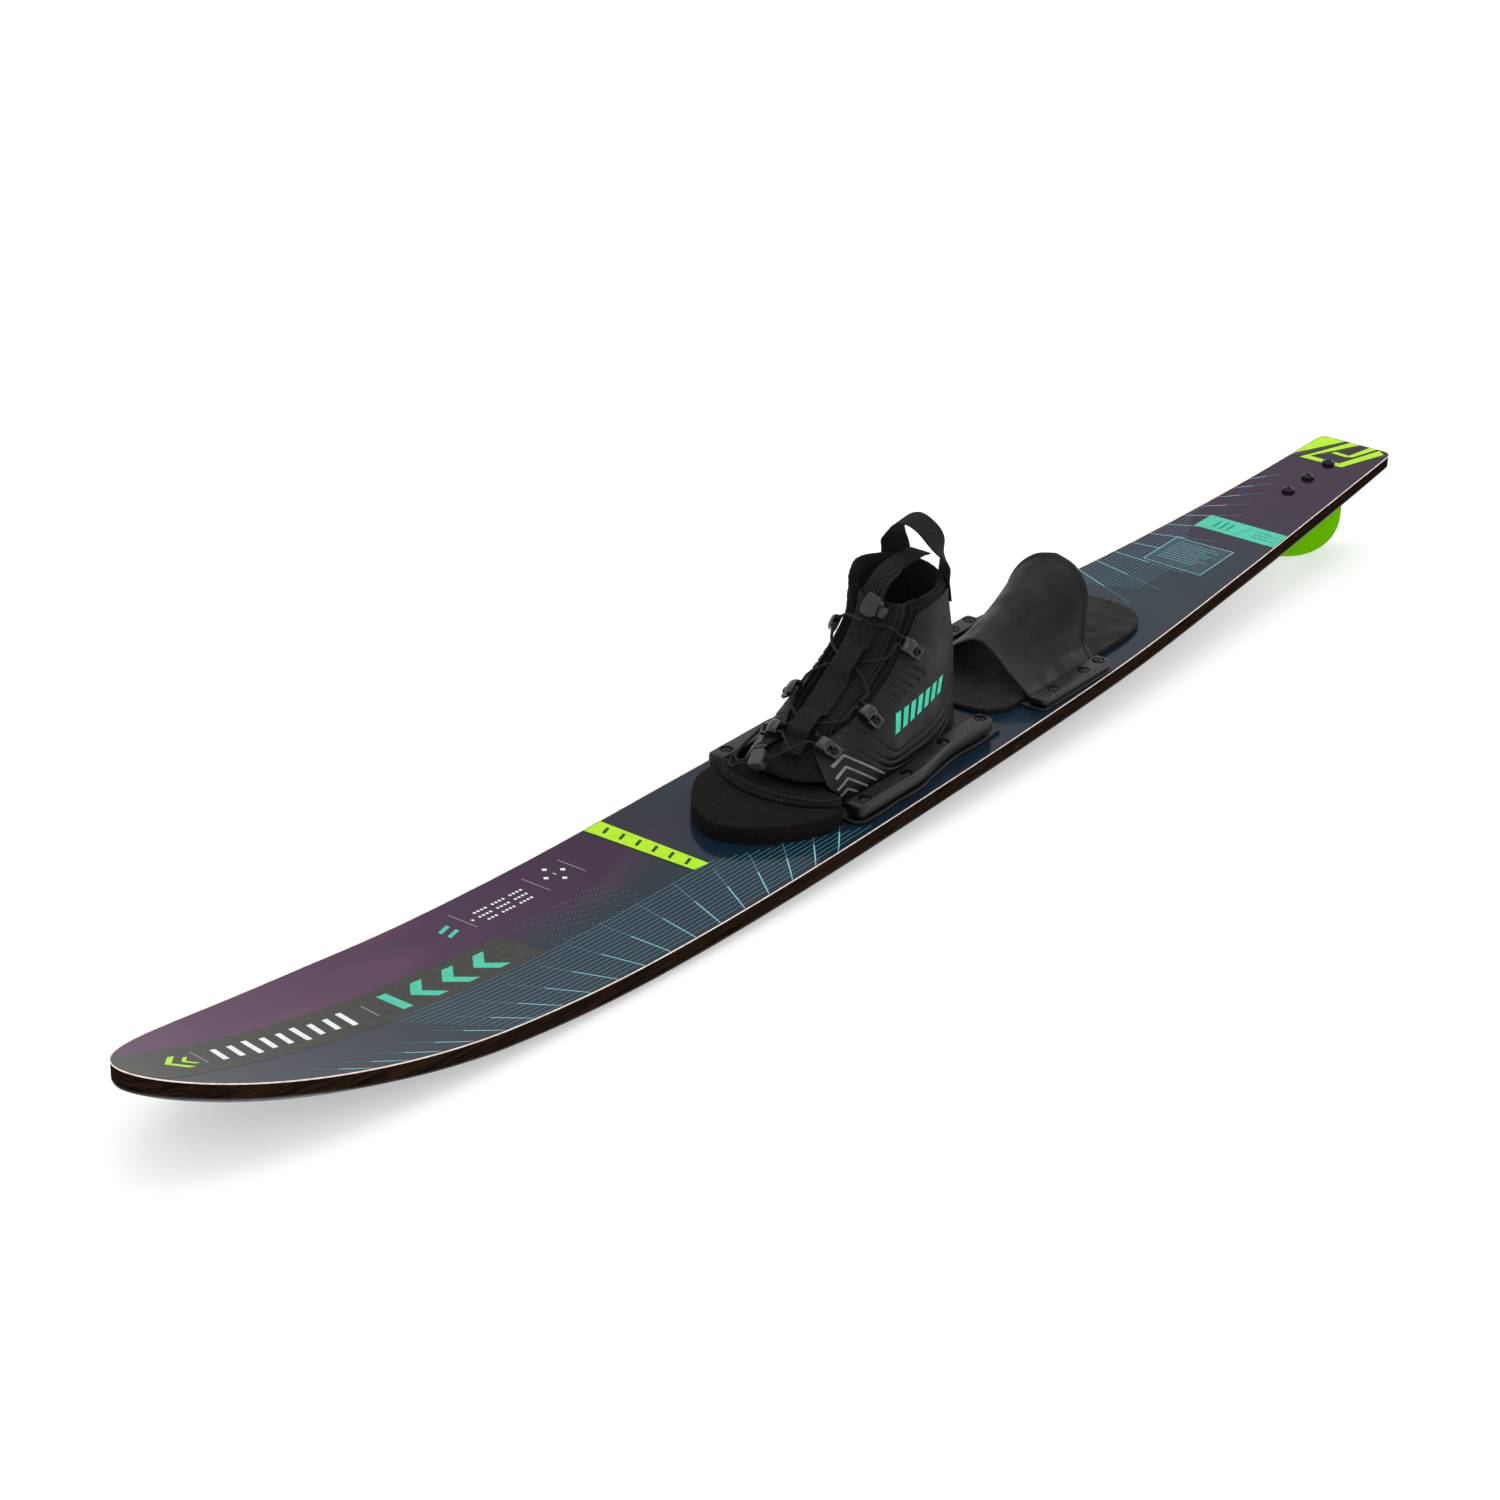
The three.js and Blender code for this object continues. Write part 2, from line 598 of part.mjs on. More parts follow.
function tongue() {
  const [rows, columns] = [11, 13];
  const tucked = -(SHELL_THICKNESS + LINER_GAP + LINER_THICKNESS + 1.2);
  const place = (r, c, inside) => {
    const height = lerp(TONGUE_LOW, TONGUE_HIGH, r / (rows - 1));
    const angle = lerp(-1, 1, c / (columns - 1)) * tongueAngle(height);
    const inThroat = 1 - THREE.MathUtils.smoothstep(Math.abs(angle), throatAngle(height) * 0.4, throatAngle(height) - 4);
    const swell = inThroat * THREE.MathUtils.smoothstep(height, 42, 54);
    const thick = lerp(1.6, 4, THREE.MathUtils.smoothstep(height, TONGUE_LOW, 52));
    return bootAt(angle, height, lerp(tucked, -1.2, swell) - (inside ? thick : 0));
  };
  const grid = (inside) => range(rows).map((r) => range(columns).map((c) => place(r, c, inside)));
  return shell(grid(false), grid(true));
}

// ---------------------------------------------------------------- lacing
// A lace guide sits on the shell beside its edge. ex points to the throat, ey down the edge, ez out.
function guideFrame(angle, height, edgeDown, edgeUp) {
  const along = bootPoint(...edgeUp).sub(bootPoint(...edgeDown)).normalize();
  const ez = bootNormal(angle, height);
  const ex = ez.clone().cross(along).normalize();
  const ey = ez.clone().cross(ex).normalize();
  const origin = bootAt(angle, height, 1);
  return { origin, ex, ey, ez };
}

const GUIDE_SEATS = [
  { level: 'lower', angle: 18.5, height: 44, down: [17, 40], up: [20, 52] },
  { level: 'middle', angle: 37, height: 61, down: [26, 56], up: [38, 74] },
  { level: 'upper', angle: 49, height: 101, down: [42, 88], up: [48, 110] },
];
const GUIDE_SCREW_X = -8.5;

const GUIDES = GUIDE_SEATS.flatMap((seat) => SIDES.map(({ name, sign }) => {
  const near = guideFrame(seat.angle, seat.height, seat.down, seat.up);
  const flip = (p) => (sign > 0 ? p : mirrorY(p));
  const at = (x, y, z) => flip(
    near.origin.clone().addScaledVector(near.ex, x).addScaledVector(near.ey, y).addScaledVector(near.ez, z),
  );
  const orient = (geometry) => {
    const seated = placed(geometry, near.origin, near.ex, near.ey, near.ez);
    return sign > 0 ? seated : mirrored(seated);
  };
  return {
    name: `${seat.level}_${name}`,
    at,
    orient,
    hole: () => orient(bar(2, GUIDE_SCREW_X, 0, -6, 8)),
  };
}));
const guideNamed = (name) => GUIDES.find((guide) => guide.name === name);

function guideBody(guide, laceRoom) {
  const side = new THREE.Shape([
    P2(6.4, 0), P2(7, 3.4), P2(5.4, 7), P2(-1.6, 7.8), P2(-3.8, 6.8), P2(-4.6, 3.8), P2(-12.4, 3.4), P2(-13.4, 2.4),
    P2(-13.4, 0),
  ]);
  const block = new THREE.ExtrudeGeometry(side, { depth: 13, bevelEnabled: false });
  block.translate(0, 0, -6.5).rotateX(Math.PI / 2);
  return cut(guide.orient(block), guide.hole(), laceRoom);
}

const guideScrew = (guide) => guide.orient(screwGeometry(1.6, 6.3, 3.5, 2.2).translate(GUIDE_SCREW_X, 0, 3.8));

// The lace turns round inside a guide between its two mouths.
function turnInGuide(guide, goingDown) {
  const path = [[11, -3.6], [6, -3.6], [2.6, -3.1], [0.2, 0], [2.6, 3.1], [6, 3.6], [11, 3.6]];
  const points = path.map(([x, y]) => guide.at(x, y, 3.7));
  return goingDown ? points : points.reverse();
}

// Cord locks: ex is the way the lace leaves, ey the way the button looks, ez out from the boot.
function lockFrame(origin, ex, ey) {
  const ez = ex.clone().cross(ey).normalize();
  return { origin, ex, ey: ez.clone().cross(ex).normalize(), ez };
}
const UPPER_LOCK = lockFrame(V(18.5, 6, 133), V(-0.42, 0.25, 0.87).normalize(), V(0, 1, 0));
const LOWER_LOCK = lockFrame(V(136, -17, 33), V(0.1, -0.94, -0.34).normalize(), V(-0.84, 0.05, 0.54));
const LOCK_STRAND = 1.6; // each strand runs this far to either side of a lock's middle
const inLock = (lock, x, y, z) => (
  lock.origin.clone().addScaledVector(lock.ex, x).addScaledVector(lock.ey, y).addScaledVector(lock.ez, z)
);

// Where the strands cross under the webbing's loops, one above the other.
const CROSSINGS = { upper: 88, lower: 52 };
const crossing = (height, distance) => bootAt(0, height, distance);
const STRAND_LOW = 1.9;
const STRAND_HIGH = 5;

function overTongue(angle, height, distance) {
  const p = bootAt(Math.abs(angle), height, distance);
  return angle < 0 ? mirrorY(p) : p;
}

function laceCurve() {
  const strand = (sign, distance) => {
    const [a, b] = sign > 0 ? ['left', 'right'] : ['right', 'left'];
    return [
      overTongue(sign * 22, 114, 5.2),
      overTongue(sign * 36, 109, 4.6),
      ...turnInGuide(guideNamed(`upper_${a}`), true),
      overTongue(sign * 32, 95, 4.2),
      overTongue(sign * 16, 91, 3.4),
      crossing(CROSSINGS.upper, distance),
      overTongue(-sign * 16, 81, 3.6),
      overTongue(-sign * 28, 72, 4.4),
      ...turnInGuide(guideNamed(`middle_${b}`), true),
      overTongue(-sign * 20, 57, 4),
      crossing(CROSSINGS.lower, distance),
      overTongue(sign * 9, 49.5, 3.6),
      ...turnInGuide(guideNamed(`lower_${a}`), true),
    ];
  };
  const inUpper = (side, x) => inLock(UPPER_LOCK, x, side * LOCK_STRAND, 0);
  const straight = [-13.5, -10, 0, 18, 21];
  const upperLoop = [
    ...straight.map((x) => inUpper(1, x)), V(3.2, 16.4, 156.4), V(-2.2, 16.2, 158.8), V(0.6, 12.6, 157.8),
    ...straight.map((x) => inUpper(-1, x)).reverse(),
  ];
  const inLower = (side, x) => inLock(LOWER_LOCK, x, side * LOCK_STRAND, 0);
  const throughLower = (side) => [-11, -7.5, 0, 12.5, 15].map((x) => inLower(side, x));
  const leftToLock = [V(130, 4, 45), ...throughLower(-1), V(139, -40, 21.5)];
  const leftTail = [V(131.5, -48.5, 20.4), V(118, -48, 27), V(104, -45, 34.5), V(96, -42.5, 40)];
  const rightToLock = [V(119, -3, 47), V(125, 2.6, 44), ...throughLower(1), V(133, -38.6, 24)];
  const rightTail = [V(128.5, -44.5, 25.4), V(117, -44.8, 31.2), V(104, -41.8, 38), V(96, -39.4, 43.4)];
  return new THREE.CatmullRomCurve3([
    ...leftTail.slice().reverse(),
    ...leftToLock.slice().reverse(),
    ...strand(1, STRAND_LOW).reverse(),
    ...upperLoop,
    ...strand(-1, STRAND_HIGH),
    ...rightToLock,
    ...rightTail,
  ], false, 'centripetal');
}

function laceTube(curve, radius) {
  const round = new THREE.Shape(range(LACE_SIDES).map((i) => {
    const a = ((i + 0.5) * 2 * Math.PI) / LACE_SIDES;
    return P2(radius * Math.cos(a), radius * Math.sin(a));
  }));
  return new THREE.ExtrudeGeometry(round, { extrudePath: curve, steps: LACE_STEPS, bevelEnabled: false });
}

const lace = laceCurve();
const laceRoom = laceTube(lace, LACE_R + 0.42);

function roundedPlate(halfX, halfY, corner, low, high, bevel) {
  const outline = [
    P2(halfX - corner, -halfY), P2(halfX - corner * 0.3, -halfY + corner * 0.3), P2(halfX, -halfY + corner),
    P2(halfX, halfY - corner), P2(halfX - corner * 0.3, halfY - corner * 0.3), P2(halfX - corner, halfY),
    P2(-halfX + corner, halfY), P2(-halfX + corner * 0.3, halfY - corner * 0.3), P2(-halfX, halfY - corner),
    P2(-halfX, -halfY + corner), P2(-halfX + corner * 0.3, -halfY + corner * 0.3), P2(-halfX + corner, -halfY),
  ];
  return slab(outline, low, high, bevel);
}

const LOCKS = {
  upper: { frame: UPPER_LOCK, halfX: 9.5, halfY: 8, corner: 4, high: 4.8 },
  lower: { frame: LOWER_LOCK, halfX: 6.5, halfY: 8, corner: 1.2, high: 4.6 },
};
const BUTTON = { halfX: 3.4, halfZ: 2.9, capThick: 2.6, travel: 2.1, reach: 4.2 };
const LOCK_FLOOR = 1.2; // the pocket's closed side is this thick

const inFrame = (geometry, { origin, ex, ey, ez }) => placed(geometry, origin, ex, ey, ez);
const box = (x0, x1, y0, y1, z0, z1) => (
  new THREE.BoxGeometry(x1 - x0, y1 - y0, z1 - z0).translate((x0 + x1) / 2, (y0 + y1) / 2, (z0 + z1) / 2)
);

// A lock's housing: two lace channels across it and a pocket for the button, open on one side.
function lockBody({ frame, halfX, halfY, corner, high }) {
  const block = inFrame(roundedPlate(halfX, halfY, corner, -high, high, 1.1), frame);
  const room = GAP + 0.1;
  const pocket = inFrame(
    box(-BUTTON.halfX - room, BUTTON.halfX + room, -halfY + LOCK_FLOOR, halfY + 3, -BUTTON.halfZ - room, BUTTON.halfZ + room),
    frame,
  );
  const channels = [1, -1].map((side) => {
    const straight = new THREE.CylinderGeometry(LACE_R + 0.5, LACE_R + 0.5, 40, 8).rotateY(Math.PI / 8);
    return inFrame(straight.rotateZ(Math.PI / 2).translate(0, side * LOCK_STRAND, 0), frame);
  });
  return cut(block, laceRoom, ...channels, pocket);
}

// The button slides in the pocket; its slot leaves the lace free over the whole travel.
function lockButton({ frame, halfY }) {
  const inner = -BUTTON.reach;
  const stem = box(-BUTTON.halfX, BUTTON.halfX, inner, halfY + 1.6, -BUTTON.halfZ, BUTTON.halfZ);
  const cap = roundedPlate(BUTTON.halfX + 1.4, BUTTON.halfZ + 1, 1.4, 0, BUTTON.capThick, 0.5);
  cap.rotateX(-Math.PI / 2).translate(0, halfY + BUTTON.travel + 0.4, 0);
  const neck = box(-BUTTON.halfX, BUTTON.halfX, halfY, halfY + BUTTON.travel + 1.2, -BUTTON.halfZ, BUTTON.halfZ);
  const slot = box(-9, 9, -LOCK_STRAND - LACE_R - 0.4, LOCK_STRAND + LACE_R + 0.4 + BUTTON.travel, -1.8, 1.8);
  return cut(inFrame(join(stem, neck, cap), frame), inFrame(slot, frame));
}

function lockSpring({ frame, halfY }) {
  const low = -halfY + LOCK_FLOOR + GAP;
  const high = -BUTTON.reach - GAP;
  const turns = 2.5;
  const points = range(turns * 8 + 1).map((i) => {
    const a = (i * Math.PI) / 4;
    return V(1.9 * Math.cos(a), lerp(low + 0.3, high - 0.3, i / (turns * 8)), 1.9 * Math.sin(a));
  });
  const wire = new THREE.Shape(range(4).map((i) => {
    const a = (i * Math.PI) / 2;
    return P2(0.28 * Math.cos(a), 0.28 * Math.sin(a));
  }));
  const path = new THREE.CatmullRomCurve3(points);
  return inFrame(new THREE.ExtrudeGeometry(wire, { extrudePath: path, steps: turns * 8, bevelEnabled: false }), frame);
}

// ---------------------------------------------------------------- webbing
// A flat strap along points: at each of them its width runs along one direction and its thickness
// along another.
function flatStrap(points, outward3, width, thick, across) {
  const rings = points.map((p, i) => {
    const w = across[i].clone().multiplyScalar(width / 2);
    const n = outward3[i].clone().multiplyScalar(thick);
    return [p.clone().add(w), p.clone().add(w).add(n), p.clone().sub(w).add(n), p.clone().sub(w)];
  });
  return loft(rings);
}

const WEBBING_WIDTH = 20;
const WEBBING_THICK = 1.6;
const LOOP_LIFT = 7.2;

// One strap of webbing runs up the tongue. It stands away from it in two sewn loops that the lace
// runs through, passes behind the upper cord lock and leans back over the boot's mouth as a pull tab.
const TAB_PATH = [[8.8, 126], [8, 133], [6, 139.5], [0, 146.5], [-10, 151.5], [-23, 154.5], [-40, 155.5], [-57, 155.5]];
function tongueWebbing() {
  const heights = [37, 41, 44.5, 47.5, 49.5, 52, 54.5, 57, 61, 68, 75, 80, 84, 88, 92, 96, 101, 107, 114, 120];
  const lift = (height) => {
    const bump = (middle, half) => 1 - THREE.MathUtils.smoothstep(Math.abs(height - middle), half * 0.5, half);
    return 0.4 + (LOOP_LIFT - 0.4) * Math.max(bump(CROSSINGS.upper, 12), bump(CROSSINGS.lower, 8));
  };
  const tab = new THREE.CatmullRomCurve3(TAB_PATH.map(([x, z]) => V(x, 0, z)));
  const tabSteps = 9;
  const tabOut = (i) => {
    const tangent = tab.getTangent(i / tabSteps);
    return V(tangent.z, 0, -tangent.x);
  };
  const points = [...heights.map((height) => bootAt(0, height, lift(height))), ...tab.getPoints(tabSteps)];
  const outward3 = [...heights.map((height) => bootNormal(0, height)), ...range(tabSteps + 1).map(tabOut)];
  return flatStrap(points, outward3, WEBBING_WIDTH, WEBBING_THICK, points.map(() => V(0, 1, 0)));
}

// The heel's pull loop is an arch of webbing that leans forward from its legs, which lie flat against
// the liner behind the ankle.
const LOOP_ANGLE = 146;
const LOOP_FOOT_Z = 138.6;
function heelPullLoop() {
  const seat = bootAt(LOOP_ANGLE, 140, 0.9 - SHELL_THICKNESS - LINER_GAP);
  const round = bootPoint(LOOP_ANGLE - 3, 140).sub(bootPoint(LOOP_ANGLE + 3, 140)).normalize();
  // Each row: how far forward of its foot, its share of the half width, and its height.
  const side = [[0, 1, LOOP_FOOT_Z], [0, 1, 151], [6, 0.95, 166], [10, 0.6, 180]];
  const left = side.map(([forward, share, z]) => V(seat.x + forward, share * seat.y, z));
  const crown = V(seat.x + 12, 0, 186);
  const arch = new THREE.CatmullRomCurve3([...left, crown, ...left.map(mirrorY).reverse()]);
  const steps = 16;
  const points = arch.getPoints(steps);
  const across = points.map((p) => (
    V(round.x, Math.sign(p.y) * round.y, 0).lerp(V(1, 0, 0), THREE.MathUtils.smoothstep(p.z, 146, 178)).normalize()
  ));
  const outward3 = points.map((_, i) => arch.getTangent(i / steps).cross(across[i]).normalize());
  return flatStrap(points, outward3, 25, 1.8, across);
}

// ---------------------------------------------------------------- rear toe plate
function rearPlate() {
  const half = rearRailMiddle() + RAIL_WIDTH / 2 + 1.5;
  const [back, front] = [REAR_RAIL_ENDS[0] - 3, REAR_RAIL_ENDS[1] + 3];
  const outline = [
    P2(back + 6, -half), P2(front - 6, -half), P2(front, -half + 6), P2(front, half - 6), P2(front - 6, half),
    P2(back + 6, half), P2(back, half - 6), P2(back, -half + 6),
  ];
  const places = SIDES.flatMap(({ sign }) => rearScrewPlaces(sign));
  return cut(slab(outline, GAP, REAR_PLATE_TOP), ...screwHoles(places, -2, 6));
}

function rearPad() {
  const half = (sign) => new THREE.SplineCurve([
    P2(-376, 0), P2(-373, sign * 22), P2(-358, sign * 41), P2(-330, sign * 50), P2(-280, sign * 52), P2(-215, sign * 52),
    P2(-150, sign * 52), P2(-127, sign * 50), P2(-112, sign * 40), P2(-105, sign * 22), P2(-104, 0),
  ]).getPoints(20);
  const outline = [...half(-1), ...half(1).reverse().slice(1, -1)];
  const whole = slab(outline, GAP, REAR_PAD_TOP, 1);
  const plateRoom = slab([
    P2(REAR_RAIL_ENDS[0] - 3.4, -90), P2(REAR_RAIL_ENDS[1] + 3.4, -90), P2(REAR_RAIL_ENDS[1] + 3.4, 90),
    P2(REAR_RAIL_ENDS[0] - 3.4, 90),
  ], -2, REAR_PLATE_TOP + GAP);
  return cut(whole, plateRoom);
}

// The strap's edge curves, from its foot under a rail to its crown, as [y, z].
const STRAP_FRONT = [[58, 2.6], [55.5, 4.8], [51, 8], [43, 13], [31, 21], [18, 31.5], [8, 37.4], [4, 38.6], [0, 39]];
const STRAP_REAR = [[58, 2.6], [55.5, 5], [49, 9], [41, 16], [38.6, 36], [36.8, 52], [30, 65], [18, 75], [0, 80]];

function toeStrap() {
  const [rows, halfColumns] = [6, 9];
  const edge = (points) => new THREE.SplineCurve(points.map(([y, z]) => P2(y, z)));
  const [front, rear] = [edge(STRAP_FRONT), edge(STRAP_REAR)];
  const section = (s, t) => {
    const [a, b] = [front.getPoint(t), rear.getPoint(t)];
    const crown = THREE.MathUtils.smoothstep(t, 0, 1);
    const x = lerp(REAR_RAIL_ENDS[1] - 5 - 5 * crown, REAR_RAIL_ENDS[0] + 4 - 23 * crown, s);
    const rise = Math.max(0, s) ** 1.3;
    return V(x, lerp(a.x, b.x, rise), lerp(a.y, b.y, rise));
  };
  const normal = (s, t) => {
    const h = 0.02;
    const along = section(s + h, t).sub(section(s - h, t));
    const up = section(s, Math.min(1, t + h)).sub(section(s, Math.max(0, t - h)));
    return along.cross(up).normalize();
  };
  const row = (s, distance) => {
    const x = (t) => section(s, t).x;
    const low = REAR_PLATE_TOP + GAP + distance;
    const flange = [V(x(0), 74, low), V(x(0), 60, low)];
    const wall = range(halfColumns).map((i) => {
      const t = (i + 1) / halfColumns;
      const p = section(s, t).addScaledVector(normal(s, t), distance);
      if (i === halfColumns - 1) p.y = 0;
      return p;
    });
    const half = [...flange, ...wall];
    return [...half, ...half.slice(0, -1).reverse().map(mirrorY)];
  };
  const layer = (distance) => range(rows).map((r) => row(r / (rows - 1), distance));
  const body = shell(layer(STRAP_THICKNESS), layer(0));
  const places = SIDES.flatMap(({ sign }) => rearScrewPlaces(sign));
  const railRoom = SIDES.map(({ sign }) => (
    slab(
      railOutline(REAR_RAIL_ENDS, rearRailMiddle, RAIL_WIDTH / 2 + GAP + 0.1, sign),
      REAR_RAIL_LOW - GAP, REAR_RAIL_HIGH + 2,
    )
  ));
  return cut(body, ...screwHoles(places, 0, 7), ...railRoom);
}

// ---------------------------------------------------------------- assembly
const ski = new THREE.Group();

function add(name, geometry, finish) {
  const mesh = new THREE.Mesh(geometry, finish);
  mesh.name = name;
  ski.add(mesh);
}

add('ski_core', core(), MATERIALS.core);
add('top_sheet', topSheet(), MATERIALS.deck);
add('base_sheet', baseSheet(), MATERIALS.base);
add('fin', fin(), MATERIALS.fin);
FIN_SCREWS.forEach((x, i) => add(`fin_screw_${i + 1}`, finScrew(x), MATERIALS.steel));

add('front_plate', frontPlate(), MATERIALS.plate);
add('foot_pad', footPad(), MATERIALS.foam);
add('boot_sole', bootSole(), MATERIALS.neoprene);
add('boot_shell', bootShell(), MATERIALS.rubber);
add('boot_liner', bootLiner(), MATERIALS.neoprene);
add('tongue', tongue(), MATERIALS.mesh);
add('tongue_webbing', tongueWebbing(), MATERIALS.webbing);
add('heel_pull_loop', heelPullLoop(), MATERIALS.webbing);
add('lace', laceTube(lace, LACE_R), MATERIALS.cord);
for (const guide of GUIDES) {
  add(`lace_guide_${guide.name}`, guideBody(guide, laceRoom), MATERIALS.hardware);
  add(`guide_screw_${guide.name}`, guideScrew(guide), MATERIALS.steel);
}
for (const [name, lock] of Object.entries(LOCKS)) {
  add(`${name}_lock_body`, lockBody(lock), MATERIALS.hardware);
  add(`${name}_lock_button`, lockButton(lock), MATERIALS.hardware);
  add(`${name}_lock_spring`, lockSpring(lock), MATERIALS.steel);
}

for (const { name, sign } of SIDES) {
  const places = frontScrewPlaces(sign);
  const body = rail(FRONT_RAIL_ENDS, railMiddle, RAIL_LOW, RAIL_HIGH, places, sign, 2.6);
  add(`front_rail_${name}`, body, MATERIALS.rail);
  places.forEach(([x, y], i) => {
    const seat = RAIL_HIGH - 2.6 + GAP;
    const screw = screwGeometry(SCREW_R, seat + CORE_HOLE_DEPTH - 0.5, SCREW_HEAD_R, 2.5).translate(x, y, seat);
    add(`front_screw_${name}_${i + 1}`, screw, MATERIALS.steel);
  });
}

add('rear_plate', rearPlate(), MATERIALS.plate);
add('rear_pad', rearPad(), MATERIALS.foam);
add('toe_strap', toeStrap(), MATERIALS.rubber);
for (const { name, sign } of SIDES) {
  const places = rearScrewPlaces(sign);
  const body = rail(REAR_RAIL_ENDS, rearRailMiddle, REAR_RAIL_LOW, REAR_RAIL_HIGH, places, sign, 1.8);
  add(`rear_rail_${name}`, body, MATERIALS.rail);
  places.forEach(([x, y], i) => {
    const seat = REAR_RAIL_HIGH - 1.8 + GAP;
    const screw = screwGeometry(SCREW_R, seat + CORE_HOLE_DEPTH - 0.5, SCREW_HEAD_R, 2.3).translate(x, y, seat);
    add(`rear_screw_${name}_${i + 1}`, screw, MATERIALS.steel);
  });
}

// The ski lies on the fin's lowest point and on the place along its belly that a straight line from
// there touches first.
const bellySlope = (x) => (baseHeight(x, halfWidth(x) * 0.88) - FIN_LOWEST.z) / (x - FIN_LOWEST.x);
const pitch = Math.atan(Math.min(...range(61).map((i) => bellySlope(i * 10))));
ski.rotation.y = pitch;
const bounds = new THREE.Box3().setFromObject(ski, true);
ski.position.set(-(bounds.min.x + bounds.max.x) / 2, -(bounds.min.y + bounds.max.y) / 2, -bounds.min.z);

const waterSki = new THREE.Group();
waterSki.add(ski);
export default waterSki;
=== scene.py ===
"""Looks of the slalom water ski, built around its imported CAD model.

Own pieces are made in the ski's own frame, in millimetres: +X to the tip, +Y to the skier's left and
z = 0 on the flat middle of the deck. SKI places that frame in the row frame.
"""

import json
import math

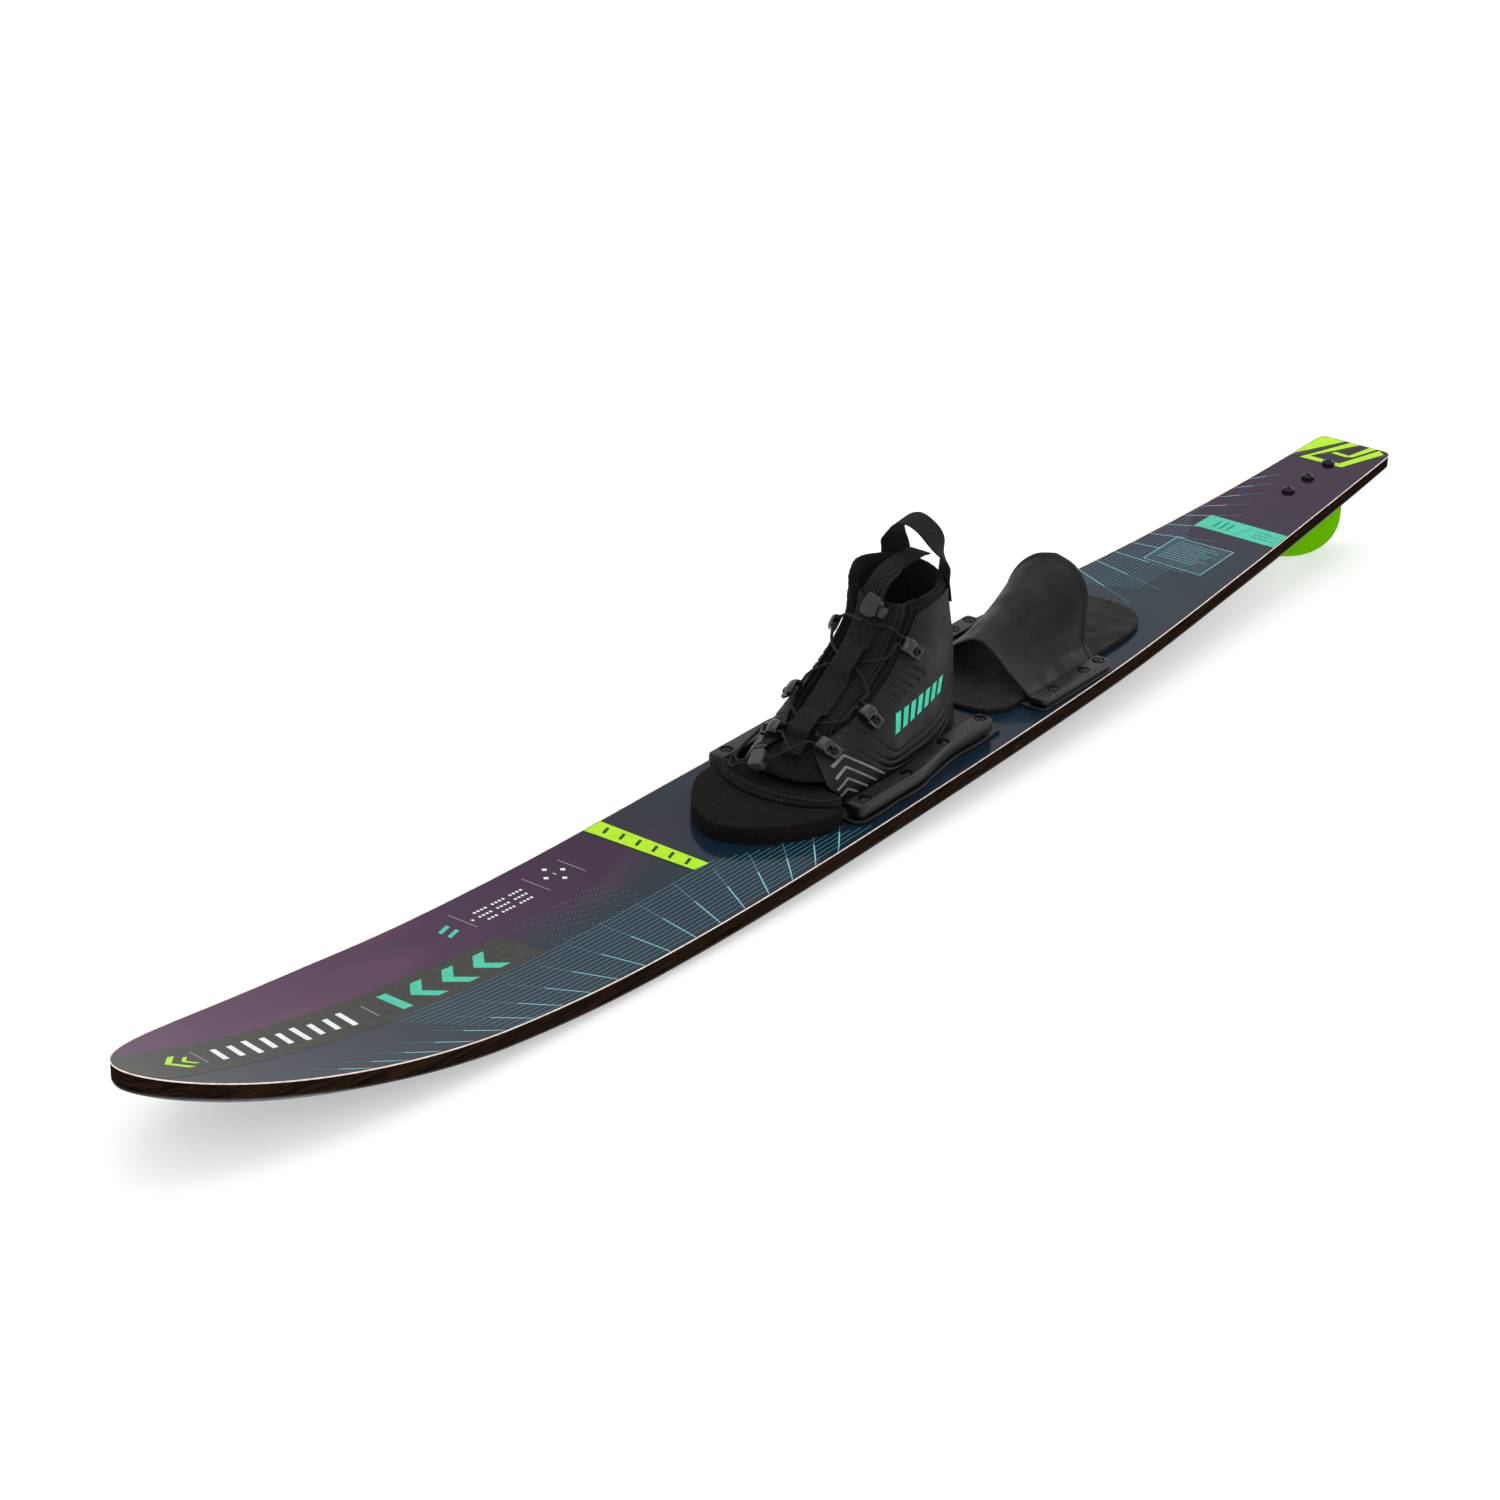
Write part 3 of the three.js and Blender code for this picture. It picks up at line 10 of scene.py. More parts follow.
import bmesh
import bpy
import numpy as np
from mathutils import Matrix, Vector
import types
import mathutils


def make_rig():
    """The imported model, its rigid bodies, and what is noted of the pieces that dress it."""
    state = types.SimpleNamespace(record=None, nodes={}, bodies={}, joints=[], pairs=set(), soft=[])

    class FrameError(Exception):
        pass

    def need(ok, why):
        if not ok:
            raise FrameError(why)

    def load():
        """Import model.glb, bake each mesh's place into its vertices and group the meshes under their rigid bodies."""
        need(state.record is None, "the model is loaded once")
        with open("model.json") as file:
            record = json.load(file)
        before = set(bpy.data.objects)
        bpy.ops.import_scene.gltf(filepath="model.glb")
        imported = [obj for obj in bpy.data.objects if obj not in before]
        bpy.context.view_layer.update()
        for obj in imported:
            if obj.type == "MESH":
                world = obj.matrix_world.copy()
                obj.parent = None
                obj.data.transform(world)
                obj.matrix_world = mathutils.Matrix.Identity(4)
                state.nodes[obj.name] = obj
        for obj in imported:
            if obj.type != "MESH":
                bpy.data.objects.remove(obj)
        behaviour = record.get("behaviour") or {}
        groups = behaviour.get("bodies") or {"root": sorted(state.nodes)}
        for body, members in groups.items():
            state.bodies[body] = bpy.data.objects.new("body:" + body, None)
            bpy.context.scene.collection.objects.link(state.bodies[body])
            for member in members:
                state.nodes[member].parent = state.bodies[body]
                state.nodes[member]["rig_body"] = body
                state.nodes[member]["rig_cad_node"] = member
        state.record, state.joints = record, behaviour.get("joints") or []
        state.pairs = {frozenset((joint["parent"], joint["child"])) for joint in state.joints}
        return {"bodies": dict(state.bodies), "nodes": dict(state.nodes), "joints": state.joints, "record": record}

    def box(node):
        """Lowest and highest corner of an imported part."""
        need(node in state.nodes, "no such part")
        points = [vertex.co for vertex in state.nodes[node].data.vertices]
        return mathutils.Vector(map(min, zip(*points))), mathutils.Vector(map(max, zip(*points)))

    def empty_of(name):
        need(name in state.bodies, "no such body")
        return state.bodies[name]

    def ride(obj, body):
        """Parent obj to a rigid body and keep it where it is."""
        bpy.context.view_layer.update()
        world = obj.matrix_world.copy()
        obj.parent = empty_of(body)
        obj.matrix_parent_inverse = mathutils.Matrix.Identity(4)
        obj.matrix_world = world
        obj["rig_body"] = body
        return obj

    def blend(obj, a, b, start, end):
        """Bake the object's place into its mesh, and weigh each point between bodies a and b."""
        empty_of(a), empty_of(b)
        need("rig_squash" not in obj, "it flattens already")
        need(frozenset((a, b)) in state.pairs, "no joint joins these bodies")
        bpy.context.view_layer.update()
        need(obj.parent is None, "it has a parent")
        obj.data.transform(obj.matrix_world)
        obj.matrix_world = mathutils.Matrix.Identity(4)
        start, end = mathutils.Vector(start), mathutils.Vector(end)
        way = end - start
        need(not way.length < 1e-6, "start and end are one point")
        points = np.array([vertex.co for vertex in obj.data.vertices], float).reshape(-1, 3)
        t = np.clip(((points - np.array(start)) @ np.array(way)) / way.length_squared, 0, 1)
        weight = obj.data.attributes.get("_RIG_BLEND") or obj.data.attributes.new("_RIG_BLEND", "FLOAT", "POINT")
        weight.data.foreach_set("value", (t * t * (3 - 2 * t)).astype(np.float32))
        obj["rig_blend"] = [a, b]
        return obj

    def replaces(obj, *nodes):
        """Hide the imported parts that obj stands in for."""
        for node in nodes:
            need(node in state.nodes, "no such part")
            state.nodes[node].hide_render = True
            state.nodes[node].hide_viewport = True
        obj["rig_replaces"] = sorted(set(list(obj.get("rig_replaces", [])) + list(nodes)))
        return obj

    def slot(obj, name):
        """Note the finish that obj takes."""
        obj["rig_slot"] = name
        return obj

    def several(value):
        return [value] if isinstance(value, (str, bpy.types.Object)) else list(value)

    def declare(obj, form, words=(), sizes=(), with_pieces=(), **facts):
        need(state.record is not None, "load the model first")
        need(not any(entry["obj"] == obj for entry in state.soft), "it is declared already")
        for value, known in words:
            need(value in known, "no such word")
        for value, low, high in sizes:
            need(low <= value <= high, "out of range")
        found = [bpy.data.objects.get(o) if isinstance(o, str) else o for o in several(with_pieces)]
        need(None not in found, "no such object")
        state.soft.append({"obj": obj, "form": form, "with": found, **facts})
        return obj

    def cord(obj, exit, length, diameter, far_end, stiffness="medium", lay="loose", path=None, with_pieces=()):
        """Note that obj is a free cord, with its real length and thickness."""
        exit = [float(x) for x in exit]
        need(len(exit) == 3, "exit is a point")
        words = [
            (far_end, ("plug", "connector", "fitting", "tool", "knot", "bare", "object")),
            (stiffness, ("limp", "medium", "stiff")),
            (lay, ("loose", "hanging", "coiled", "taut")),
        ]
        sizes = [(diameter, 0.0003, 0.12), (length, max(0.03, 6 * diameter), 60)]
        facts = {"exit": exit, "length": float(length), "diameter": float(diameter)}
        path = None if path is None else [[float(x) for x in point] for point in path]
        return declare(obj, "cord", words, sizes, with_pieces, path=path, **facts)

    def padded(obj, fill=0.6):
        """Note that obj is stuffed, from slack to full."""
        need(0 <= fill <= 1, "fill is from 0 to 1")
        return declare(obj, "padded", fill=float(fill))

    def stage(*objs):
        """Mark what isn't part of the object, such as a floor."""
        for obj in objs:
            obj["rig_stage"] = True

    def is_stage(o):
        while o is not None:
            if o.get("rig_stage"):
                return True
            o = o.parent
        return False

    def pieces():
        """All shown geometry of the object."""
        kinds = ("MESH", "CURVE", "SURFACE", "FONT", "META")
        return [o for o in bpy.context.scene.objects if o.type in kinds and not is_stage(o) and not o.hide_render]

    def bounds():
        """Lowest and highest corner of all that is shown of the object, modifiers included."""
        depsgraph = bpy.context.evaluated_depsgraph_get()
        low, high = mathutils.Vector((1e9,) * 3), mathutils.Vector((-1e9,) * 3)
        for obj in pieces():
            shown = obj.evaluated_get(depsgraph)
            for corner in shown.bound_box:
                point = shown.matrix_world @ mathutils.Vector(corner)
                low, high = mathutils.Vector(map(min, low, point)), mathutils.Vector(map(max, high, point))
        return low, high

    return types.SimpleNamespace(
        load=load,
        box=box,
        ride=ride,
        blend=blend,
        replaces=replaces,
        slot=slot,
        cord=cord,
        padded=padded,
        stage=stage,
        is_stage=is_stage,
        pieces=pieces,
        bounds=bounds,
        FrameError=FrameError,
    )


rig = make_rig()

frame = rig.load()
CAD_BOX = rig.bounds()

# ---------------------------------------------------------------- the ski's frame in the row frame
MM = 0.001
JOINTS = {joint["name"]: joint for joint in frame["joints"]}
LOOP_PIVOT = (-56.0, 0.0, 151.0)  # the heel loop's hinge in the ski's frame


def centre(node):
    low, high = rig.box(node)
    return (Vector(low) + Vector(high)) / 2


def ski_matrix():
    """The front screws of one rail stand in a line along the ski, which gives its pitch."""
    along = centre("front_screw_left_1") - centre("front_screw_left_4")
    turn = Matrix.Rotation(math.atan2(-along.z, along.x), 4, "Y")
    pivot = turn @ (Vector(LOOP_PIVOT) * MM)
    return Matrix.Translation(Vector(JOINTS["heel_loop_flop"]["pos_m"]) - pivot) @ turn


SKI = ski_matrix()

# ---------------------------------------------------------------- driving dimensions, as in the CAD
GAP = 0.3
TAIL_X, TIP_X = -850.0, 850.0
TIP_ROUND = 290.0
TAIL_CORNER = 9.0
TOP_SHEET = 0.8
BASE_SHEET = 1.2
RAIL_LOW, RAIL_HIGH = 6.5, 17.0
RAIL_WIDTH = 17.0
FRONT_RAIL = (-80.0, 125.0)
FRONT_SCREWS = (110.0, 52.0, -14.0, -71.0)
REAR_RAIL = (-257.0, -147.0)
REAR_RAIL_LOW, REAR_RAIL_HIGH = 5.1, 10.0
REAR_SCREWS = (-173.0, -222.0, -247.0)
REAR_MIDDLE = 66.0
REAR_PLATE_TOP, REAR_PAD_TOP = 2.3, 5.3
PAD_TOP, SOLE_TOP = 15.0, 17.8
FIN_SCREWS = (-791.0, -749.0, -710.0)
SHELL_THICK = 2.8
LINER_OUT = -4.1
LINER_IN = -8.3
LACE_R = 1.3
SIDES = (("left", 1), ("right", -1))


# ---------------------------------------------------------------- curves and small helpers
def lerp(a, b, t):
    return a + (b - a) * t


def step01(x, low, high):
    t = np.clip((np.asarray(x, float) - low) / (high - low), 0, 1)
    return t * t * (3 - 2 * t)


def smooth(points):
    """A curve y(x) through points in order of x, with no overshoot between them."""
    xs, ys = np.array(points, float).T
    h = np.diff(xs)
    slope = np.diff(ys) / h
    tangent = np.zeros_like(ys)
    tangent[0], tangent[-1] = slope[0], slope[-1]
    for i in range(1, len(xs) - 1):
        if slope[i - 1] * slope[i] > 0:
            tangent[i] = 2 * slope[i - 1] * slope[i] / (slope[i - 1] + slope[i])

    def curve(x):
        x = np.clip(np.asarray(x, float), xs[0], xs[-1])
        i = np.clip(np.searchsorted(xs, x, side="right") - 1, 0, len(xs) - 2)
        t = (x - xs[i]) / h[i]
        start = (1 + 2 * t) * (1 - t) ** 2 * ys[i] + t * (1 - t) ** 2 * h[i] * tangent[i]
        end = t * t * (3 - 2 * t) * ys[i + 1] + t * t * (t - 1) * h[i] * tangent[i + 1]
        return start + end

    return curve


def spline(points, count, power=0.0):
    """count points on a Catmull-Rom curve through points; power 0 is uniform and 0.25 centripetal."""
    p = np.array(points, float)
    p = np.vstack([2 * p[0] - p[1], p, 2 * p[-1] - p[-2]])
    out = []
    for t in np.linspace(0, len(points) - 1, count):
        i = min(int(t), len(points) - 2)
        u = t - i
        a, b, c, d = p[i : i + 4]
        k = [max(1e-6, float(((q - r) ** 2).sum()) ** power) for q, r in ((b, a), (c, b), (d, c))]
        m1 = ((b - a) / k[0] - (c - a) / (k[0] + k[1]) + (c - b) / k[1]) * k[1]
        m2 = ((c - b) / k[1] - (d - b) / (k[1] + k[2]) + (d - c) / k[2]) * k[1]
        out.append(
            b + m1 * u + (3 * (c - b) - 2 * m1 - m2) * u * u + (2 * (b - c) + m1 + m2) * u ** 3
        )
    return np.array(out)


def unit(v):
    v = np.asarray(v, float)
    return v / np.maximum(1e-12, np.linalg.norm(v, axis=-1, keepdims=True))


# ---------------------------------------------------------------- meshes
def place(name, mesh, matrix, material, slot, body="ski", replaces=()):
    """Sets a mesh made in a part's own frame into the row frame, in its slot and on its body."""
    mesh.transform(SKI @ matrix)
    mesh.materials.clear()
    mesh.materials.append(material)
    obj = bpy.data.objects.new(name, mesh)
    bpy.context.scene.collection.objects.link(obj)
    if replaces:
        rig.replaces(obj, *replaces)
    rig.slot(obj, slot)
    if body:
        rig.ride(obj, body)
    return obj


def cleaned(name, points, faces, sharp):
    """A smooth-shaded mesh from millimetre points, its faces turned out."""
    mesh = bpy.data.meshes.new(name)
    mesh.from_pydata((np.asarray(points, float).reshape(-1, 3) * MM).tolist(), [], faces)
    mesh.validate()
    work = bmesh.new()
    work.from_mesh(mesh)
    bmesh.ops.remove_doubles(work, verts=work.verts, dist=1e-6)
    bmesh.ops.recalc_face_normals(work, faces=work.faces)
    work.to_mesh(mesh)
    work.free()
    mesh.shade_smooth()
    mesh.set_sharp_from_angle(angle=math.radians(sharp))
    return mesh


def piece(name, points, faces, material, slot, sharp=40, body="ski", replaces=(), cuts=()):
    """A piece from millimetre points in the ski's frame, with tool bodies cut out of it."""
    mesh = cleaned(name, points, faces, sharp)
    if cuts:
        mesh = carved(mesh, cuts, sharp)
    return place(name, mesh, Matrix(), material, slot, body, replaces)


def quads(rows, columns, wrap_rows=False, wrap_columns=False):
    """Faces over a grid of rows and columns of points."""
    faces = []
    for r in range(rows if wrap_rows else rows - 1):
        for c in range(columns if wrap_columns else columns - 1):
            d, e = (r + 1) % rows, (c + 1) % columns
            faces.append((r * columns + c, r * columns + e, d * columns + e, d * columns + c))
    return faces


def loft(rings):
    """A closed body through closed rings of equally many points."""
    rings = np.array(rings, float)
    rows, columns = rings.shape[:2]
    faces = quads(rows, columns, wrap_columns=True)
    points = np.vstack([rings.reshape(-1, 3), rings[0].mean(0)[None], rings[-1].mean(0)[None]])
    first, last = rows * columns, rows * columns + 1
    end = (rows - 1) * columns
    for c in range(columns):
        d = (c + 1) % columns
        faces += [(first, d, c), (last, end + c, end + d)]
    return points, faces


def skin(outer, inner, closed=False, rim=0.45):
    """A skin between two grids [row][column] of points, with rounded rims at its first and last row."""
    outer, inner = np.array(outer, float), np.array(inner, float)
    thick = np.linalg.norm(outer - inner, axis=-1, keepdims=True)
    low_way = unit((outer[0] + inner[0]) - (outer[1] + inner[1]))
    high_way = unit((outer[-1] + inner[-1]) - (outer[-2] + inner[-2]))

    def rounded(a, b, way, size):
        return [
            lerp(a, b, 0.15) + way * size * rim * 0.7,
            lerp(a, b, 0.5) + way * size * rim,
            lerp(a, b, 0.85) + way * size * rim * 0.7,
        ]

    rows = [
        *outer,
        *rounded(outer[-1], inner[-1], high_way, thick[-1]),
        *inner[::-1],
        *rounded(inner[0], outer[0], low_way, thick[0]),
    ]
    grid = np.array(rows)
    total, columns = grid.shape[:2]
    faces = quads(total, columns, wrap_rows=True, wrap_columns=closed)
    if not closed:
        count = len(outer)
        ring = [(i, 2 * count + 2 - i) for i in range(count)]
        for c in (0, columns - 1):
            at = lambda r: (r % total) * columns + c
            for (a, b), (d, e) in zip(ring, ring[1:]):
                faces.append((at(a), at(d), at(e), at(b)))
            faces.append((at(count - 1), at(count), at(count + 1), at(count + 2), at(count + 3)))
            faces.append((at(0), at(-1), at(-2), at(-3), at(2 * count + 2)))
    return grid.reshape(-1, 3), faces


def inset(outline, distance):
    """A closed plan outline, anticlockwise, moved inward by a distance."""
    p = np.array(outline, float)
    before, after = unit(p - np.roll(p, 1, 0)), unit(np.roll(p, -1, 0) - p)
    way = unit(before + after)
    inward = np.stack([-way[:, 1], way[:, 0]], 1)
    widen = 1 / np.maximum(0.5, (before * way).sum(1, keepdims=True))
    return p + inward * distance * widen


def anticlockwise(outline):
    p = np.array(outline, float)
    area = (p[:, 0] * np.roll(p[:, 1], -1) - np.roll(p[:, 0], -1) * p[:, 1]).sum()
    return p if area > 0 else p[::-1]


def slab(outline, low, high, bevel=1.0, low_bevel=None, steps=4, crown=None):
    """A plan outline raised from low to high with rounded edges. crown(x, y) lifts its top."""
    outline = anticlockwise(outline)
    low_bevel = bevel * 0.6 if low_bevel is None else low_bevel
    arc = np.linspace(0, math.pi / 2, steps + 1)
    levels = [(low + low_bevel * (1 - math.sin(a)), low_bevel * (1 - math.cos(a))) for a in arc[::-1]]
    levels += [(high - bevel * (1 - math.sin(a)), bevel * (1 - math.cos(a))) for a in arc]
    rings = []
    for z, inward in levels:
        plan = inset(outline, inward)
        rings.append(np.column_stack([plan, np.full(len(plan), z)]))
    points = np.vstack(rings)
    count = len(outline)
    faces = quads(len(rings), count, wrap_columns=True)
    faces.append(tuple(range(count))[::-1])
    top = (len(rings) - 1) * count
    if crown is None:
        faces.append(tuple(range(top, top + count)))
        return points, faces
    middle = rings[-1].mean(0)
    shrink = [0.9, 0.75, 0.55, 0.3]
    for s in shrink:
        ring = middle + (rings[-1] - middle) * s
        ring[:, 2] = high + crown(ring[:, 0], ring[:, 1])
        points = np.vstack([points, ring])
    faces += [
        tuple(i + top for i in face) for face in quads(len(shrink) + 1, count, wrap_columns=True)
    ]
    end = top + len(shrink) * count
    faces.append(tuple(range(end, end + count)))
    return points, faces


def superellipse(half_x, half_y, power=4.0, count=48):
    t = np.linspace(0, 2 * math.pi, count, endpoint=False)
    x = np.sign(np.cos(t)) * np.abs(np.cos(t)) ** (2 / power) * half_x
    y = np.sign(np.sin(t)) * np.abs(np.sin(t)) ** (2 / power) * half_y
    return np.column_stack([x, y])


def carved(mesh, tools, sharp):
    """The mesh with tool bodies, each given as points and faces, cut out of it."""
    obj = bpy.data.objects.new("blank", mesh)
    bpy.context.scene.collection.objects.link(obj)
    for points, faces in tools:
        tool = bpy.data.objects.new("tool", cleaned("tool", points, faces, sharp))
        bpy.context.scene.collection.objects.link(tool)
        cut = obj.modifiers.new("cut", "BOOLEAN")
        cut.operation = "DIFFERENCE"
        cut.solver = "EXACT"
        cut.object = tool
        bpy.context.view_layer.update()
        evaluated = obj.evaluated_get(bpy.context.evaluated_depsgraph_get())
        mesh = bpy.data.meshes.new_from_object(evaluated)
        obj.modifiers.clear()
        obj.data = mesh
        bpy.data.objects.remove(tool)
    bpy.data.objects.remove(obj)
    mesh.shade_smooth()
    mesh.set_sharp_from_angle(angle=math.radians(sharp))
    return mesh


def rod(x, y, low, high, radius, sides=32):
    a = np.linspace(0, 2 * math.pi, sides, endpoint=False)
    ring = np.column_stack([x + radius * np.cos(a), y + radius * np.sin(a)])
    rings = [np.column_stack([ring, np.full(sides, z)]) for z in (low, high)]
    return loft(rings)


def basis(origin, ex, ey, ez):
    """The matrix of a part laid out in millimetres along ex, ey and ez about an origin."""
    m = Matrix([list(unit(ex)), list(unit(ey)), list(unit(ez))]).transposed().to_4x4()
    m.translation = Vector(np.asarray(origin, float) * MM)
    return m


def tube(path, radius, sides=12, twist=None):
    """Rings of a round tube along a path; twist(index, angle) gives each point's share of the radius."""
    path = np.asarray(path, float)
    tangent = unit(np.gradient(path, axis=0))
    side = unit(np.cross(tangent[0], [0.3, 0.2, 1.0]))
    rings = []
    angles = np.linspace(0, 2 * math.pi, sides, endpoint=False)
    for i, (point, way) in enumerate(zip(path, tangent)):
        side = unit(side - way * (side @ way))
        up = np.cross(way, side)
        share = twist(i, angles) if twist else np.ones(sides)
        ring = np.outer(np.cos(angles) * share, side) + np.outer(np.sin(angles) * share, up)
        rings.append(point + radius * ring)
    return rings


# ---------------------------------------------------------------- materials
def srgb(red, green, blue):
    def linear(v):
        v /= 255
        return v / 12.92 if v <= 0.04045 else ((v + 0.055) / 1.055) ** 2.4

    return (linear(red), linear(green), linear(blue), 1.0)


class Paint:
    """A material being built: its node tree, its shader and shorthand for its nodes."""

    def __init__(self, name, color, roughness, **sockets):
        self.material = bpy.data.materials.new(name)
        self.material.use_nodes = True
        self.nodes = self.material.node_tree.nodes
        self.links = self.material.node_tree.links
        self.shader = self.nodes["Principled BSDF"]
        self.set("Base Color", color)
        self.set("Roughness", roughness)
        for key, value in sockets.items():
            self.set(key.replace("_", " "), value)
        # Texture coordinates run along the ski, which is pitched in the row frame.
        turned = self.nodes.new("ShaderNodeMapping")
        turned.vector_type = "TEXTURE"
        turned.inputs["Location"].default_value = SKI.to_translation()
        turned.inputs["Rotation"].default_value = SKI.to_euler()
        coordinates = self.nodes.new("ShaderNodeTexCoord")
        self.links.new(coordinates.outputs["Object"], turned.inputs["Vector"])
        self.where = turned.outputs["Vector"]

    def set(self, socket, value):
        target = self.shader.inputs[socket]
        if isinstance(value, bpy.types.NodeSocket):
            self.links.new(value, target)
        else:
            target.default_value = value

    def put(self, node, index, value):
        if isinstance(value, bpy.types.NodeSocket):
            self.links.new(value, node.inputs[index])
        else:
            node.inputs[index].default_value = value

    def stretched(self, scale):
        node = self.nodes.new("ShaderNodeMapping")
        self.links.new(self.where, node.inputs["Vector"])
        node.inputs["Scale"].default_value = scale
        return node.outputs["Vector"]

    def noise(self, scale, detail=3.0, stretch=None, roughness=0.55):
        node = self.nodes.new("ShaderNodeTexNoise")
        self.links.new(self.stretched(stretch) if stretch else self.where, node.inputs["Vector"])
        node.inputs["Scale"].default_value = scale
        node.inputs["Detail"].default_value = detail
        node.inputs["Roughness"].default_value = roughness
        return node.outputs["Fac"]

    def cells(self, scale, feature="F1", stretch=None):
        node = self.nodes.new("ShaderNodeTexVoronoi")
        node.feature = feature
        self.links.new(self.stretched(stretch) if stretch else self.where, node.inputs["Vector"])
        node.inputs["Scale"].default_value = scale
        return node.outputs["Distance"]

    def math(self, operation, a, b=0.0):
        node = self.nodes.new("ShaderNodeMath")
        node.operation = operation
        self.put(node, 0, a)
        self.put(node, 1, b)
        return node.outputs[0]

    def span(self, value, low, high, to_low=0.0, to_high=1.0, soft=True):
        node = self.nodes.new("ShaderNodeMapRange")
        node.interpolation_type = "SMOOTHSTEP" if soft else "LINEAR"
        for index, number in enumerate((value, low, high, to_low, to_high)):
            self.put(node, index, number)
        return node.outputs[0]

    def mix(self, share, a, b):
        node = self.nodes.new("ShaderNodeMix")
        node.data_type = "RGBA"
        self.put(node, 0, share)
        self.put(node, 6, a)
        self.put(node, 7, b)
        return node.outputs[2]

    def axis(self, name):
        node = self.nodes.new("ShaderNodeSeparateXYZ")
        self.links.new(self.where, node.inputs[0])
        return node.outputs[name]

    def bump(self, height, distance_mm, strength=1.0):
        node = self.nodes.new("ShaderNodeBump")
        node.inputs["Strength"].default_value = strength
        node.inputs["Distance"].default_value = distance_mm * MM
        self.links.new(height, node.inputs["Height"])
        self.links.new(node.outputs["Normal"], self.shader.inputs["Normal"])

    def vary(self, colour_a, colour_b, by):
        self.set("Base Color", self.mix(by, colour_a, colour_b))

    def roughen(self, by, low, high):
        self.set("Roughness", self.span(by, 0.3, 0.7, low, high))


def deck_paint():
    """Slate teal on the near side fading to plum on the far side and at the tail, under clear gloss."""
    p = Paint("deck_gloss", srgb(30, 48, 62), 0.3, Coat_Weight=0.14, Coat_Roughness=0.04)
    p.set("Specular IOR Level", 0.04)
    x, y = p.axis("X"), p.axis("Y")
    cloud = p.math("MULTIPLY", p.math("SUBTRACT", p.noise(6.0, 2.0), 0.5), 0.05)
    across = p.math("ADD", y, cloud)
    ahead = p.math("MULTIPLY", p.span(across, 0.01, -0.035), p.span(x, 0.16, 0.3))
    astern = p.span(p.math("ADD", x, p.math("MULTIPLY", across, 1.1)), -0.46, -0.68)
    plum = p.math("MAXIMUM", ahead, astern)
    slate = p.mix(p.noise(9.0, 2.0), srgb(10, 27, 40), srgb(20, 37, 49))
    teal = p.mix(p.span(x, 0.3, 0.8), slate, srgb(46, 50, 60))
    purple = p.mix(p.span(x, 0.2, 0.8), srgb(40, 15, 44), srgb(72, 38, 70))
    rose = p.span(p.noise(5.0, 1.0, (1.0, 3.0, 1.0)), 0.56, 0.74, 0.0, 0.22)
    streaked = p.mix(p.math("MULTIPLY", rose, p.span(x, 0.15, 0.4)), purple, srgb(112, 60, 88))
    p.set("Base Color", p.mix(plum, teal, streaked))
    p.set("Roughness", p.span(p.noise(220.0, 2.0), 0.3, 0.7, 0.13, 0.2))
    p.bump(p.noise(420.0, 2.0), 0.02, 0.25)
    return p.material


def print_paint(name, color, color_b=None, roughness=0.22):
    """Screen print under the deck's gloss, a little uneven like real ink."""
    p = Paint(name, color, roughness, Coat_Weight=0.14, Coat_Roughness=0.05)
    p.set("Specular IOR Level", 0.04)
    other = color_b or tuple(0.88 * c for c in color[:3]) + (1.0,)
    p.vary(color, other, p.span(p.noise(180.0, 3.0), 0.35, 0.7))
    p.bump(p.noise(420.0, 2.0), 0.02, 0.25)
    return p.material


def sidewall_paint():
    p = Paint("sidewall", srgb(30, 24, 20), 0.65, Specular_IOR_Level=0.0)
    grain = p.noise(60.0, 4.0, (0.25, 1.0, 9.0))
    fine = p.noise(160.0, 3.0, (0.5, 1.0, 8.0))
    ground = p.mix(p.span(grain, 0.35, 0.68), srgb(14, 9, 6), srgb(38, 26, 18))
    p.set("Base Color", p.mix(p.span(fine, 0.5, 0.72, 0.0, 0.5), ground, srgb(54, 42, 34)))
    p.roughen(fine, 0.55, 0.75)
    p.bump(fine, 0.06, 0.5)
    return p.material


def base_paint():
    p = Paint("running_base", srgb(34, 33, 38), 0.34, Specular_IOR_Level=0.3)
    scratches = p.noise(300.0, 3.0, (0.06, 1.0, 1.0))
    p.vary(srgb(20, 19, 23), srgb(38, 36, 42), p.span(scratches, 0.45, 0.75))
    p.roughen(scratches, 0.24, 0.42)
    p.bump(scratches, 0.04, 0.4)
    return p.material


def fin_paint():
    p = Paint("fin_green", srgb(90, 166, 0), 0.6, Specular_IOR_Level=0.0)
    p.vary(srgb(86, 160, 0), srgb(108, 184, 0), p.noise(18.0, 2.0))
    p.roughen(p.noise(240.0, 3.0), 0.5, 0.66)
    p.bump(p.noise(500.0, 2.0), 0.03, 0.3)
    return p.material


def rubber_paint(name, dark, light, roughness=0.5, grain_mm=0.05, scale=900.0):
    """Satin moulded rubber with a fine grain and rubbed, slightly shinier patches."""
    p = Paint(name, dark, roughness, Specular_IOR_Level=0.2)
    p.vary(dark, light, p.span(p.noise(26.0, 4.0), 0.35, 0.75))
    p.set("Roughness", p.span(p.noise(40.0, 3.0), 0.3, 0.7, roughness - 0.1, roughness + 0.12))
    p.bump(p.noise(scale, 2.0), grain_mm, 0.6)
    return p.material


def moulded_paint(name, dark, light, roughness=0.42, gloss=0.28):
    """Moulded nylon with a fine spark texture."""
    p = Paint(name, dark, roughness, Specular_IOR_Level=gloss)
    p.vary(dark, light, p.span(p.noise(60.0, 4.0), 0.4, 0.75))
    p.roughen(p.noise(700.0, 2.0), roughness - 0.08, roughness + 0.1)
    p.bump(p.cells(1100.0), 0.05, 0.5)
    return p.material


